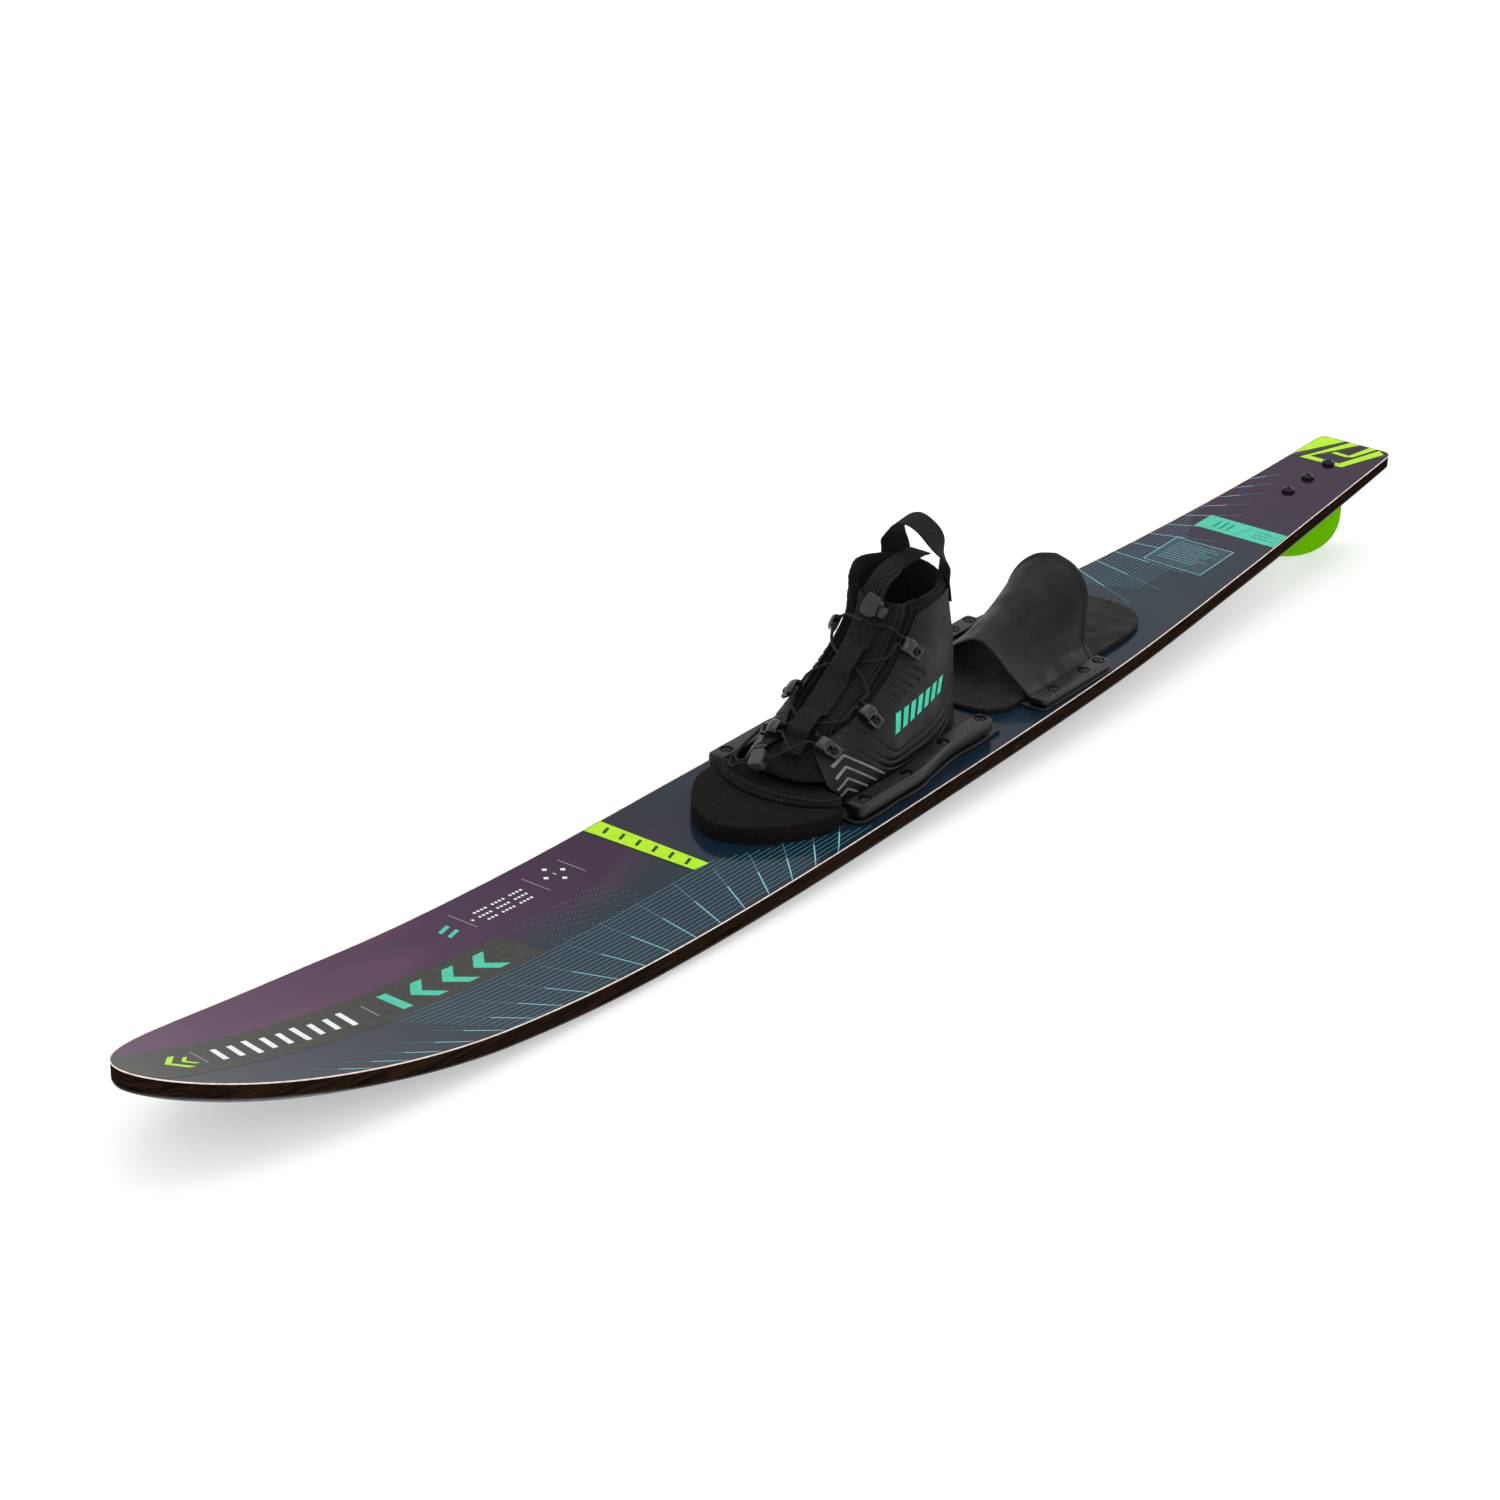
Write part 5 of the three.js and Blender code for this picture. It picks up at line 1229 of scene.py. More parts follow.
# ---------------------------------------------------------------- webbing
def strap_rings(points, outward, across, width, thick, rib_pitch=1.7, rib=0.16):
    """A flat ribbed strap. Its ribs run across it, and its edges are round."""
    points = np.asarray(points, float)
    run = np.concatenate([[0], np.cumsum(np.linalg.norm(np.diff(points, axis=0), axis=1))])
    rings = []
    shares = np.array([-1, -0.985, -0.93, -0.75, -0.4, 0, 0.4, 0.75, 0.93, 0.985, 1])
    edge = np.array([0.5, 0.8, 0.97, 1, 1, 1, 1, 1, 0.97, 0.8, 0.5])
    for i, p in enumerate(points):
        lift = rib * math.sin(run[i] / rib_pitch * 2 * math.pi)
        line = p + np.outer(shares, across[i]) * width / 2
        top = line + np.outer(thick * edge + lift * (edge > 0.9), outward[i])
        low = line + np.outer(thick * (1 - edge), outward[i])
        rings.append(np.vstack([top, low[::-1]]))
    return rings


TAB_PATH = [(8.8, 126), (8, 133), (6, 139.5), (0, 146.5), (-10, 151.5), (-23, 154.5)]
TAB_PATH += [(-40, 155.5), (-57, 155.5)]
# Heights at which the lace crosses the tongue under a loop of the webbing.
CROSSINGS = {"upper": 88.0, "lower": 52.0}


def tongue_webbing():
    heights = np.linspace(37, 120, 250)

    def bump(middle, half):
        return 1 - step01(np.abs(heights - middle), half * 0.5, half)

    lift = 0.4 + 6.8 * np.maximum(bump(CROSSINGS["upper"], 12), bump(CROSSINGS["lower"], 8))
    low = boot_at(0 * heights, heights, lift)
    tab = spline([(x, 0, z) for x, z in TAB_PATH], 200, 0.0)
    tab[:, 2] -= 1.2 * step01(-tab[:, 0], 48, 57)
    points = np.vstack([low, tab])
    tangent = unit(np.gradient(points, axis=0))
    outward = np.column_stack([tangent[:, 2], 0 * tangent[:, 0], -tangent[:, 0]])
    blend = step01(np.arange(len(points)), 235, 265)[:, None]
    first = np.vstack([boot_normal(0 * heights, heights), np.tile(outward[len(low)], (len(tab), 1))])
    outward = unit(lerp(first, outward, blend))
    across = np.tile([0, 1.0, 0], (len(points), 1))
    places = np.arange(len(points))
    finer = np.linspace(0, len(points) - 1, 640)

    def resampled(rows):
        return np.stack([np.interp(finer, places, rows[:, k]) for k in range(3)], 1)

    rings = strap_rings(resampled(points), unit(resampled(outward)), resampled(across), 20, 1.6)
    points, faces = loft(rings)
    piece("tongue_webbing_strap", points, faces, WEBBING, "webbing", 70, replaces=("tongue_webbing",))


def heel_loop():
    """The heel's pull loop: both legs are sewn to the liner and the crown flops forward."""
    seat = boot_at(146, 140, np.array(0.9 + LINER_OUT))
    low = boot_at(146, 118, np.array(1.4 + LINER_OUT))
    rows = [(0, 1, 138.6), (0, 1, 151), (6, 0.92, 166), (10.5, 0.55, 180)]
    left = [(low[0], low[1], 120.0), (low[0] * 0.5 + seat[0] * 0.5, (low[1] + seat[1]) / 2, 130.0)]
    left += [(seat[0] + ahead, share * seat[1], z) for ahead, share, z in rows]
    route = left + [(seat[0] + 12, 0, 186)] + [(x, -y, z) for x, y, z in left[::-1]]
    path = spline(route, 420, 0.25)
    tangent = unit(np.gradient(path, axis=0))
    round_way = unit((boot_point(143, 140) - boot_point(149, 140)) * [1, 1, 0])
    t = step01(path[:, 2], 146, 178)[:, None]
    start = np.column_stack([0 * t[:, 0] + round_way[0], np.sign(path[:, 1]) * round_way[1], 0 * t[:, 0]])
    across = unit(lerp(start, np.array([1.0, 0, -0.12]), t))
    outward = unit(np.cross(tangent, across))
    rings = strap_rings(path, outward, across, 24, 1.8, 1.9)
    points, faces = loft(rings)
    nodes = ("heel_pull_loop",)
    obj = piece("heel_pull_loop_strap", points, faces, WEBBING, "webbing", 70, None, nodes)
    start, end = [SKI @ (Vector((LOOP_PIVOT[0], 0, z)) * MM) for z in (146.0, 156.0)]
    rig.blend(obj, "ski", "heel_loop", start, end)


# ---------------------------------------------------------------- lace guides
GUIDE_SEATS = (  # level, angle and height, then the places below and above it that give its direction
    ("lower", 18.5, 44, (17, 40), (20, 52)),
    ("middle", 37, 61, (26, 56), (38, 74)),
    ("upper", 49, 101, (42, 88), (48, 110)),
)


def make_guides():
    guides = []
    for level, angle, height, down, up in GUIDE_SEATS:
        along = unit(boot_point(*up) - boot_point(*down))
        ez = boot_normal(angle, height)
        ex = unit(np.cross(ez, along))
        ey = unit(np.cross(ez, ex))
        origin = boot_at(angle, height, np.array(1.0))
        for name, sign in SIDES:
            flip = np.array([1, sign, 1.0])

            def at(x, y, z, origin=origin, ex=ex, ey=ey, ez=ez, flip=flip):
                return (origin + ex * x + ey * y + ez * z) * flip

            turn = 0.8 * sign + 0.01 * height
            guides.append({"name": f"{level}_{name}", "at": at, "ez": ez * flip, "turn": turn})
    return guides


GUIDES = make_guides()
HOOD = [(7.2, 0), (7.6, 2.2), (7.0, 5.2), (4.6, 7.2), (0.6, 8.0), (-2.6, 7.4), (-4.2, 5.6), (-5.2, 4.0)]
HOOD += [(-9, 3.7), (-12.6, 3.3), (-13.8, 1.8), (-13.8, 0)]


def guide_pieces():
    """A hooded guide: the lace turns under the hood, and a screw holds the low tail behind it."""
    profile = spline(HOOD, 56)
    for guide in GUIDES:
        rings = []
        for s in np.linspace(-1, 1, 21):
            round_off = (1 - abs(s) ** 3.2) ** (1 / 3.2) if abs(s) < 1 else 0.0
            rise = 0.45 + 0.55 * round_off
            shrink = 0.86 + 0.14 * round_off
            waist = 1 - 0.1 * step01(-profile[:, 0], 3, 10)
            ring = [
                guide["at"](x * shrink - 0.4 * (1 - shrink), 6.6 * s * w, z * rise)
                for (x, z), w in zip(profile, waist)
            ]
            rings.append(ring)
        points, faces = loft(rings)
        mouth = []
        for x, grow in ((-0.5, 0.9), (9.0, 1.08)):
            loop = superellipse(5.5 * grow, 2.1 * grow, 3, 24)
            mouth.append([guide["at"](x, y, 3.7 + z) for y, z in loop])
        node = f"lace_guide_{guide['name']}"
        cuts = [loft(mouth)]
        piece(f"{node}_hood", points, faces, HARDWARE, "hardware", 40, replaces=(node,), cuts=cuts)


# ---------------------------------------------------------------- cord locks
def lock_frame(origin, ex, ey):
    ex, ey = unit(ex), unit(ey)
    ez = unit(np.cross(ex, ey))
    return {"origin": np.array(origin, float), "ex": ex, "ey": unit(np.cross(ez, ex)), "ez": ez}


LOCKS = {
    "upper": lock_frame((18.5, 6, 133), (-0.42, 0.25, 0.87), (0, 1, 0)),
    "lower": lock_frame((136, -17, 33), (0.1, -0.94, -0.34), (-0.84, 0.05, 0.54)),
}
LOCK_STRAND = 1.6
SPRING_ENDS = (-6.5, -4.5)
SPRING_TURNS = 2.25
SPRING_RADIUS = 1.9
SPRING_WIRE = 0.22


def in_lock(lock, x, y, z):
    f = LOCKS[lock]
    return f["origin"] + f["ex"] * x + f["ey"] * y + f["ez"] * z


def lock_pieces():
    """Each lock's housing: a rounded block with a raised rim, open where the button goes in."""
    kinds = (("upper", 9.5, 8.0, 3.2, 4.8, HARDWARE), ("lower", 6.5, 8.0, 7.0, 4.6, HARDWARE_GREY))
    for name, half_x, half_y, power, high, paint in kinds:
        levels = [(0.80, -high), (0.93, -high + 0.25), (1.0, -high + 1.2), (1.0, high - 1.3)]
        levels += [(0.96, high - 0.35), (0.88, high), (0.82, high), (0.78, high - 0.35), (0.75, high - 0.8)]
        levels += [(0.4, high - 0.75), (0.1, high - 0.72)]
        rings = []
        for share, z in levels:
            plan = superellipse(half_x * share, half_y * share, power, 56)
            rings.append([in_lock(name, x, y, z) for x, y in plan])
        points, faces = loft(rings)
        pocket = []
        for y in (-half_y + 1.2, half_y + 4):
            loop = superellipse(3.8, 3.3, 8, 24)
            pocket.append([in_lock(name, x, y, z) for x, z in loop])
        lace_way = []
        for x in (-half_x - 3, half_x + 3):
            loop = superellipse(LOCK_STRAND + LACE_R + 0.4, LACE_R + 0.4, 3, 20)
            lace_way.append([in_lock(name, x, y, z) for y, z in loop])
        cuts = [loft(pocket), loft(lace_way)]
        nodes = (f"{name}_lock_body",)
        piece(f"{name}_lock_housing", points, faces, paint, "hardware", 35, f"{name}_lock", nodes, cuts)


def spring_pieces():
    """Each lock's coil: its outer end follows the button, so it shortens as the button goes in."""
    low, high = SPRING_ENDS
    turn = np.linspace(0, 2 * math.pi * SPRING_TURNS, 72)
    for name in LOCKS:
        heights = np.linspace(low + SPRING_WIRE, high - SPRING_WIRE, len(turn))
        coil = zip(SPRING_RADIUS * np.cos(turn), heights, SPRING_RADIUS * np.sin(turn))
        path = [in_lock(name, *point) for point in coil]
        points, faces = loft(tube(path, SPRING_WIRE, 8))
        nodes = (f"{name}_lock_spring",)
        obj = piece(f"{name}_lock_coil", points, faces, STEEL, "steel", 60, None, nodes)
        start, end = [SKI @ (Vector(in_lock(name, 0, y, 0)) * MM) for y in (low, high)]
        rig.blend(obj, f"{name}_lock", f"{name}_button", start, end)


def finish_cad_nodes():
    """CAD nodes that stay: the lock buttons get soft edges."""
    for name in LOCKS:
        button = frame["nodes"][f"{name}_lock_button"]
        button.data.materials.clear()
        button.data.materials.append(HARDWARE)
        edge = button.modifiers.new("soft edge", "BEVEL")
        edge.width = 0.35 * MM
        edge.segments = 2
        edge.limit_method = "ANGLE"


# ---------------------------------------------------------------- the lace
def turn_in_guide(name):
    """The lace's turn under a guide's hood, from above to below."""
    guide = next(g for g in GUIDES if g["name"] == name)
    path = [(11, -3.6), (6, -3.6), (2.6, -3.1), (0.2, 0), (2.6, 3.1), (6, 3.6), (11, 3.6)]
    return [guide["at"](x, y, 3.7) for x, y in path]


def over_tongue(angle, height, distance):
    p = boot_at(abs(angle), height, np.array(float(distance)))
    return p * [1, -1, 1] if angle < 0 else p


def lace_route():
    """The lace from one tucked tail end, over the tongue through guides and locks, to the other."""

    def strand(sign, distance):
        a, b = ("left", "right") if sign > 0 else ("right", "left")
        return [
            over_tongue(sign * 22, 114, 5.2),
            over_tongue(sign * 36, 109, 4.6),
            *turn_in_guide(f"upper_{a}"),
            over_tongue(sign * 32, 95, 4.2),
            over_tongue(sign * 16, 91, 3.4),
            over_tongue(0, CROSSINGS["upper"], distance),
            over_tongue(-sign * 16, 81, 3.6),
            over_tongue(-sign * 28, 72, 4.4),
            *turn_in_guide(f"middle_{b}"),
            over_tongue(-sign * 20, 57, 4),
            over_tongue(0, CROSSINGS["lower"], distance),
            over_tongue(sign * 9, 49.5, 3.6),
            *turn_in_guide(f"lower_{a}"),
        ]

    def through(lock, side, places):
        return [in_lock(lock, x, side * LOCK_STRAND, 0) for x in places]

    # Above the upper lock the lace ends in a short loop; past the lower lock both ends lie back
    # along the right side of the toe.
    in_upper = (-13.5, -10, 0, 18, 21)
    in_lower = (-11, -7.5, 0, 12.5, 15)
    loop = [*through("upper", 1, in_upper), (3.2, 16.4, 156.4), (-2.2, 16.2, 158.8), (0.6, 12.6, 157.8)]
    loop += through("upper", -1, in_upper)[::-1]
    left = [(96, -42.5, 40), (104, -45, 34.5), (118, -48, 27), (131.5, -48.5, 20.4), (139, -40, 21.5)]
    left += through("lower", -1, in_lower)[::-1] + [(130, 4, 45)]
    right = [(119, -3, 47), (125, 2.6, 44), *through("lower", 1, in_lower), (133, -38.6, 24)]
    right += [(128.5, -44.5, 25.4), (117, -44.8, 31.2), (104, -41.8, 38), (96, -39.4, 43.4)]
    route = left + strand(1, 1.9)[::-1] + loop + strand(-1, 5.0) + right
    return spline([tuple(p) for p in route], 3000, 0.25)


def lace():
    path = lace_route()
    step = np.linalg.norm(np.diff(path, axis=0), axis=1)
    run = np.concatenate([[0], np.cumsum(step)])
    even = np.linspace(0, run[-1], 1900)
    path = np.column_stack([np.interp(even, run, path[:, k]) for k in range(3)])

    def braid(i, angles):
        return 0.955 + 0.045 * np.cos(4 * angles + even[i] * 2.6) * np.cos(4 * angles - even[i] * 2.6)

    points, faces = loft(tube(path, LACE_R, 10, braid))
    obj = piece("lace_cord", points, faces, CORD, "cord", 70, replaces=("lace",))
    row = [list(SKI @ Vector(p * MM)) for p in path[::5]] + [list(SKI @ Vector(path[-1] * MM))]
    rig.cord(
        obj, exit=row[0], length=round(run[-1] * MM, 3), diameter=2 * LACE_R * MM,
        far_end="object", stiffness="limp", lay="taut", path=row,
    )


# ---------------------------------------------------------------- pads and the toe strap
def foot_outline(height, gap, first, count=110):
    angle = np.linspace(first, 360 - first, count)
    near = np.where(angle > 180, 360 - angle, angle)
    p = boot_at(near, height + 0 * near, -gap + 0 * near)
    p[:, 1] *= np.where(angle > 180, -1, 1)
    return [tuple(q[:2]) for q in p]


NECK = [(129, 60), (121, 52), (119.5, 33)]


def pads():
    neck_back = [(x, -y) for x, y in NECK[::-1]]
    apron = spline(
        [(134, -63), (160, -60), (188, -44), (209, -22), (217, 0)]
        + [(209, 22), (188, 44), (160, 60), (134, 63)],
        90,
    )
    foot = foot_outline(PAD_TOP, SHELL_THICK + 1.2, 54)
    plan = [tuple(p) for p in apron] + NECK + foot + neck_back
    points, faces = slab(plan, GAP, PAD_TOP, 2.4, 0.8)
    room = [[(-120, -95, z), (128, -95, z), (128, 95, z), (-120, 95, z)] for z in (-3, 3.6)]
    cuts = [loft(room)]
    obj = piece("foot_pad_foam", points, faces, FOAM, "foam", 50, replaces=("foot_pad",), cuts=cuts)
    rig.padded(obj, fill=1.0)
    nose = spline([(134, -61), (150, -42), (159, -20), (161, 0), (159, 20), (150, 42), (134, 61)], 80)
    foot = foot_outline(SOLE_TOP, SHELL_THICK + 1.2, 54)
    plan = [tuple(p) for p in nose] + NECK + foot + neck_back
    points, faces = slab(plan, PAD_TOP + GAP, SOLE_TOP, 1.1, 0.3)
    piece("boot_sole_sheet", points, faces, FOAM, "neoprene", 50, replaces=("boot_sole",))
    welt = spline([(127, -57), (141, -47), (151, -24), (153.6, 0), (151, 24), (141, 47), (127, 57)], 160)
    path = np.column_stack([welt, np.full(len(welt), SOLE_TOP + 0.35)])
    points, faces = loft(tube(path, 0.95, 8))
    piece("sole_welt", points, faces, NEOPRENE, "neoprene", 70)
    stitch_line("sole_stitch", path - [4.2, 0, 0.45], 3.1, 1.7)
    rear_pad()


def stitch_line(name, path, pitch, length):
    """A seam of short thread stitches along a path."""
    run = np.concatenate([[0], np.cumsum(np.linalg.norm(np.diff(path, axis=0), axis=1))])
    points, faces = [], []
    for start in np.arange(pitch, run[-1] - pitch, pitch):
        s = np.linspace(start, start + length, 5)
        line = np.column_stack([np.interp(s, run, path[:, k]) for k in range(3)])
        line[:, 2] += 0.28 * np.sin(np.linspace(0, math.pi, 5))
        p, f = loft(tube(line, 0.28, 6))
        faces += [tuple(i + len(points) for i in face) for face in f]
        points += list(p)
    return piece(name, points, faces, STITCH, "neoprene", 70)


def rear_pad():
    half = [(-376, 0), (-373, 22), (-358, 41), (-330, 50), (-280, 52), (-215, 52), (-150, 52)]
    half += [(-127, 50), (-112, 40), (-105, 22), (-104, 0)]
    left = spline(half, 90)
    plan = np.vstack([left, (left * [1, -1])[::-1][1:-1]])
    points, faces = slab(plan, GAP, REAR_PAD_TOP, 1.6, 0.4)
    back, ahead = REAR_RAIL[0] - 3.4, REAR_RAIL[1] + 3.4
    top = REAR_PLATE_TOP + GAP
    room = [[(back, -95, z), (ahead, -95, z), (ahead, 95, z), (back, 95, z)] for z in (-3, top)]
    cuts = [loft(room)]
    obj = piece("rear_pad_mat", points, faces, GRIP, "foam", 45, replaces=("rear_pad",), cuts=cuts)
    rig.padded(obj, fill=1.0)


# The strap's front and rear edges from its foot to its crown, as (y, z).
STRAP_FRONT = [(58, 2.6), (55.5, 4.8), (51, 8), (43, 13), (31, 21), (18, 31.5), (8, 37.4), (4, 38.6)]
STRAP_FRONT += [(0, 39)]
STRAP_REAR = [(58, 2.6), (55.5, 5), (49, 9), (41, 16), (38.6, 36), (36.8, 52), (30, 65), (18, 75)]
STRAP_REAR += [(0, 80)]


def toe_strap():
    """A moulded sheet arched over the rear foot, thicker along both free edges."""
    columns = 60
    front, rear = spline(STRAP_FRONT, columns), spline(STRAP_REAR, columns)
    t = np.linspace(0, 1, columns)
    crown = step01(t, 0, 1)
    start = REAR_RAIL[1] - 5 - 5 * crown
    end = REAR_RAIL[0] + 4 - 23 * crown
    near_edges = [0.008, 0.016, 0.024, 0.034, 0.966, 0.976, 0.984, 0.992]
    shares = np.sort(np.concatenate([np.linspace(0, 1, 62), near_edges]))
    grid = []
    for s in shares:
        mid = lerp(front, rear, s ** 1.3)
        grid.append(np.column_stack([lerp(start, end, s), mid]))
    grid = np.array(grid)
    along = np.gradient(grid, axis=0)
    up = np.gradient(grid, axis=1)
    normal = unit(np.cross(along, up))
    run = shares[:, None] * (start - end)[None, :]
    back = (1 - shares)[:, None] * (start - end)[None, :]
    lip = 0.7 * (1 - step01(run, 2.0, 3.6)) + 1.0 * (1 - step01(back, 2.4, 4.2))

    def layer(distance, extra):
        wall = grid + normal * (distance + extra)[..., None]
        wall[:, -1, 1] = 0
        low = REAR_PLATE_TOP + GAP + distance[:, :1]
        x = lerp(start[0], end[0], shares)
        flange = [np.column_stack([x, np.full(len(shares), y), low[:, 0]]) for y in (74, 66, 60)]
        left = np.concatenate([np.stack(flange, 1), wall[:, 1:]], 1)
        right = left[:, -2::-1] * [1, -1, 1]
        return np.concatenate([left, right], 1)

    flat = np.zeros_like(run)
    points, faces = skin(layer(flat + 2.2, lip), layer(flat, 0 * lip), rim=0.5)
    piece("toe_strap_rubber", points, faces, STRAP_RUBBER, "rubber", 50, replaces=("toe_strap",))
    studs = [(0.42, 0.62), (0.42, 0.8), (0.62, 0.72), (0.3, 0.35), (0.75, 0.4)]
    points, faces = [], []
    for s, t in studs:
        i, j = int(s * (len(shares) - 1)), int(t * (columns - 1))
        n, ex = normal[i, j], unit(along[i, j])
        ey = np.cross(n, ex)
        rings = []
        for radius, rise in ((1.3, 2.0), (1.15, 2.45), (0.7, 2.7), (0.2, 2.76)):
            a = np.linspace(0, 2 * math.pi, 14, endpoint=False)
            spread = np.outer(np.cos(a), ex) + np.outer(np.sin(a), ey)
            rings.append(grid[i, j] + radius * spread + n * rise)
        p, f = loft(rings)
        faces += [tuple(k + len(points) for k in face) for face in f]
        points += list(p)
    piece("toe_strap_studs", points, faces, STRAP_RUBBER, "rubber", 60)


# ---------------------------------------------------------------- printed graphics
class Print:
    """Flat marks on the deck, each a four-cornered patch that follows the deck's curve."""

    def __init__(self, lift):
        self.points, self.faces, self.lift = [], [], lift

    def patch(self, a, b, c, d):
        """Corners in order round the patch, as (x, y)."""
        a, b, c, d = [np.array(p, float) for p in (a, b, c, d)]
        long = max(np.linalg.norm(b - a), np.linalg.norm(c - d))
        short = max(np.linalg.norm(d - a), np.linalg.norm(c - b))
        reach = abs(np.array([a, b, c, d])[:, 0]).max()
        curved = 9.0 if reach > 150 else 60.0
        n, m = max(1, int(long / curved)), max(1, int(short / curved))
        start = len(self.points)
        for i in range(n + 1):
            for j in range(m + 1):
                x, y = lerp(lerp(a, b, i / n), lerp(d, c, i / n), j / m)
                x = float(np.clip(x, TAIL_X + 0.8, TIP_X - 0.8))
                limit = max(0.0, float(half_width(x)) - 0.8)
                y = min(limit, max(-limit, y))
                self.points.append((x, y, float(deck_height(x)) + self.lift))
        for i in range(n):
            for j in range(m):
                k = start + i * (m + 1) + j
                self.faces.append((k, k + 1, k + m + 2, k + m + 1))

    def line(self, a, b, width):
        a, b = np.array(a, float), np.array(b, float)
        way = unit(b - a)
        side = np.array([-way[1], way[0]]) * width / 2
        self.patch(a - side, b - side, b + side, a + side)

    def build(self, name, paint):
        mesh = turned_out(name, self.points, self.faces, lambda face: face.normal.z)
        place(name, mesh, Matrix(), paint, "deck")


def turned_out(name, points, faces, outness):
    """A one-sided mesh from millimetre points; outness of a face is negative where it faces inwards."""
    mesh = bpy.data.meshes.new(name)
    mesh.from_pydata((np.array(points) * MM).tolist(), [], faces)
    work = bmesh.new()
    work.from_mesh(mesh)
    bmesh.ops.dissolve_degenerate(work, edges=work.edges, dist=1e-6)
    for face in work.faces:
        face.normal_update()
        if outness(face) < 0:
            face.normal_flip()
    work.to_mesh(mesh)
    work.free()
    mesh.shade_smooth()
    return mesh


def deck_prints():
    lime, aqua, white, olive = Print(0.16), Print(0.16), Print(0.16), Print(0.12)
    grey, dark, teal = Print(0.15), Print(0.2), Print(0.2)
    lime.patch((249, -87.5), (270, -87.5), (267, 19), (251, 21))
    for i in range(6):
        y = -76 + 16 * i
        dark.patch((254, y), (264, y + 3), (264, y + 6), (254, y + 3))
    dark.line((271, -87), (268, 19), 1.2)
    aqua.patch((-616, -31), (-585, -32), (-585, 58), (-616, 58))
    for i in range(3):
        teal.line((-609, -2 - 7 * i), (-592, -2 - 7 * i), 2.4)
    teal.line((-611, 16), (-591, 9), 0.9)
    for row in range(3):
        for i in range(7 - 2 * (row % 2)):
            y = 24 + 3.4 * i
            x = -608 + 6 * row
            teal.patch((x, y), (x + 3, y), (x + 3, y + 1.6), (x, y + 1.6))
    olive.patch((450, -21.5), (832, -21.5), (829, 22.5), (447, 19.5))
    olive.patch((828, -21.5), (849, -17), (849, 17), (826, 22.5))
    for i in range(3):
        x = 478 + 34 * i
        aqua.patch((x, -13), (x + 12, -13), (x + 26, 0), (x + 14, 0))
        aqua.patch((x + 14, 0), (x + 26, 0), (x + 12, 13), (x, 13))
    aqua.patch((584, -13), (594, -13), (594, 13), (584, 13))
    for i in range(9):
        x = 634 + 15.4 * i
        tall = 9 if i % 3 else 11
        white.patch((x, -tall + 1), (x + 5.4, -tall + 1), (x + 9.4, tall), (x + 4, tall))
    grey.line((614, -9), (616, 10), 1.3)
    grey.line((778, -10), (780, 9), 1.3)
    lime.patch((794, -9), (800, -9), (812, 1), (806, 1))
    lime.patch((806, 1), (812, 1), (800, 11), (794, 11))
    lime.patch((786, -5), (790, -5), (797, 1), (793, 1))
    lime.patch((793, 1), (797, 1), (790, 7), (786, 7))
    deck_small_marks(white, grey, aqua)
    tail_marks(lime, olive)
    for made, name, paint in (
        (lime, "lime", LIME), (aqua, "aqua", AQUA), (white, "white", WHITE), (olive, "olive", OLIVE),
        (grey, "grey", GREY), (dark, "dark", DARK_MARK), (teal, "teal", TEAL_MARK),
    ):
        made.build(f"deck_print_{name}", paint)
    deck_grid()


def deck_small_marks(white, grey, aqua):
    """Fine rules and rows of dots beside the band on the far side."""
    for x in (322.5, 365.5, 450):
        grey.line((x, -70), (x, -42), 1.1)
    for row, (count, y) in enumerate(((14, -60), (16, -53), (13, -46))):
        for i in range(count):
            if i % 5 == 4:
                continue
            x = 379 + 4.1 * i + 2 * row
            white.patch((x, y), (x + 2.4, y), (x + 2.4, y + 2.4), (x, y + 2.4))
    for i in range(2):
        aqua.patch((464, -60 + 9 * i), (478, -56 + 9 * i), (478, -52.4 + 9 * i), (464, -56.4 + 9 * i))
    for dx, dy in ((0, -10), (0, 10), (-10, 0), (10, 0)):
        x, y = 342 + dx, -57 + dy
        white.patch((x - 2.6, y), (x, y - 2.6), (x + 2.6, y), (x, y + 2.6))
    white.line((342, -58.6), (342, -55.4), 1.0)


def tail_marks(lime, olive):
    """The far corner of the tail is lime, with bent stripes beside it."""
    olive.patch((-787, -44), (-794, -33), (-852, -5), (-852, -14))
    lime.patch((-788, -44), (-841, -44), (-849, -30), (-849, -12))
    lime.patch((-790, -31), (-798, -24), (-850, 4), (-850, -6))
    lime.patch((-790, -31), (-798, -28), (-798, 12), (-791, 14))
    lime.patch((-791, 14), (-797, 8), (-848, 26), (-842, 34))
    lime.patch((-815, 6), (-819, 12), (-850, 23), (-850, 15))
    lime.patch((-815, 6), (-820, 10), (-821, -8), (-816, -10))
    olive.patch((-803, -20), (-806, -14), (-850, 9), (-850, 3))
    olive.patch((-812, 20), (-815, 24), (-846, 37), (-838, 37))


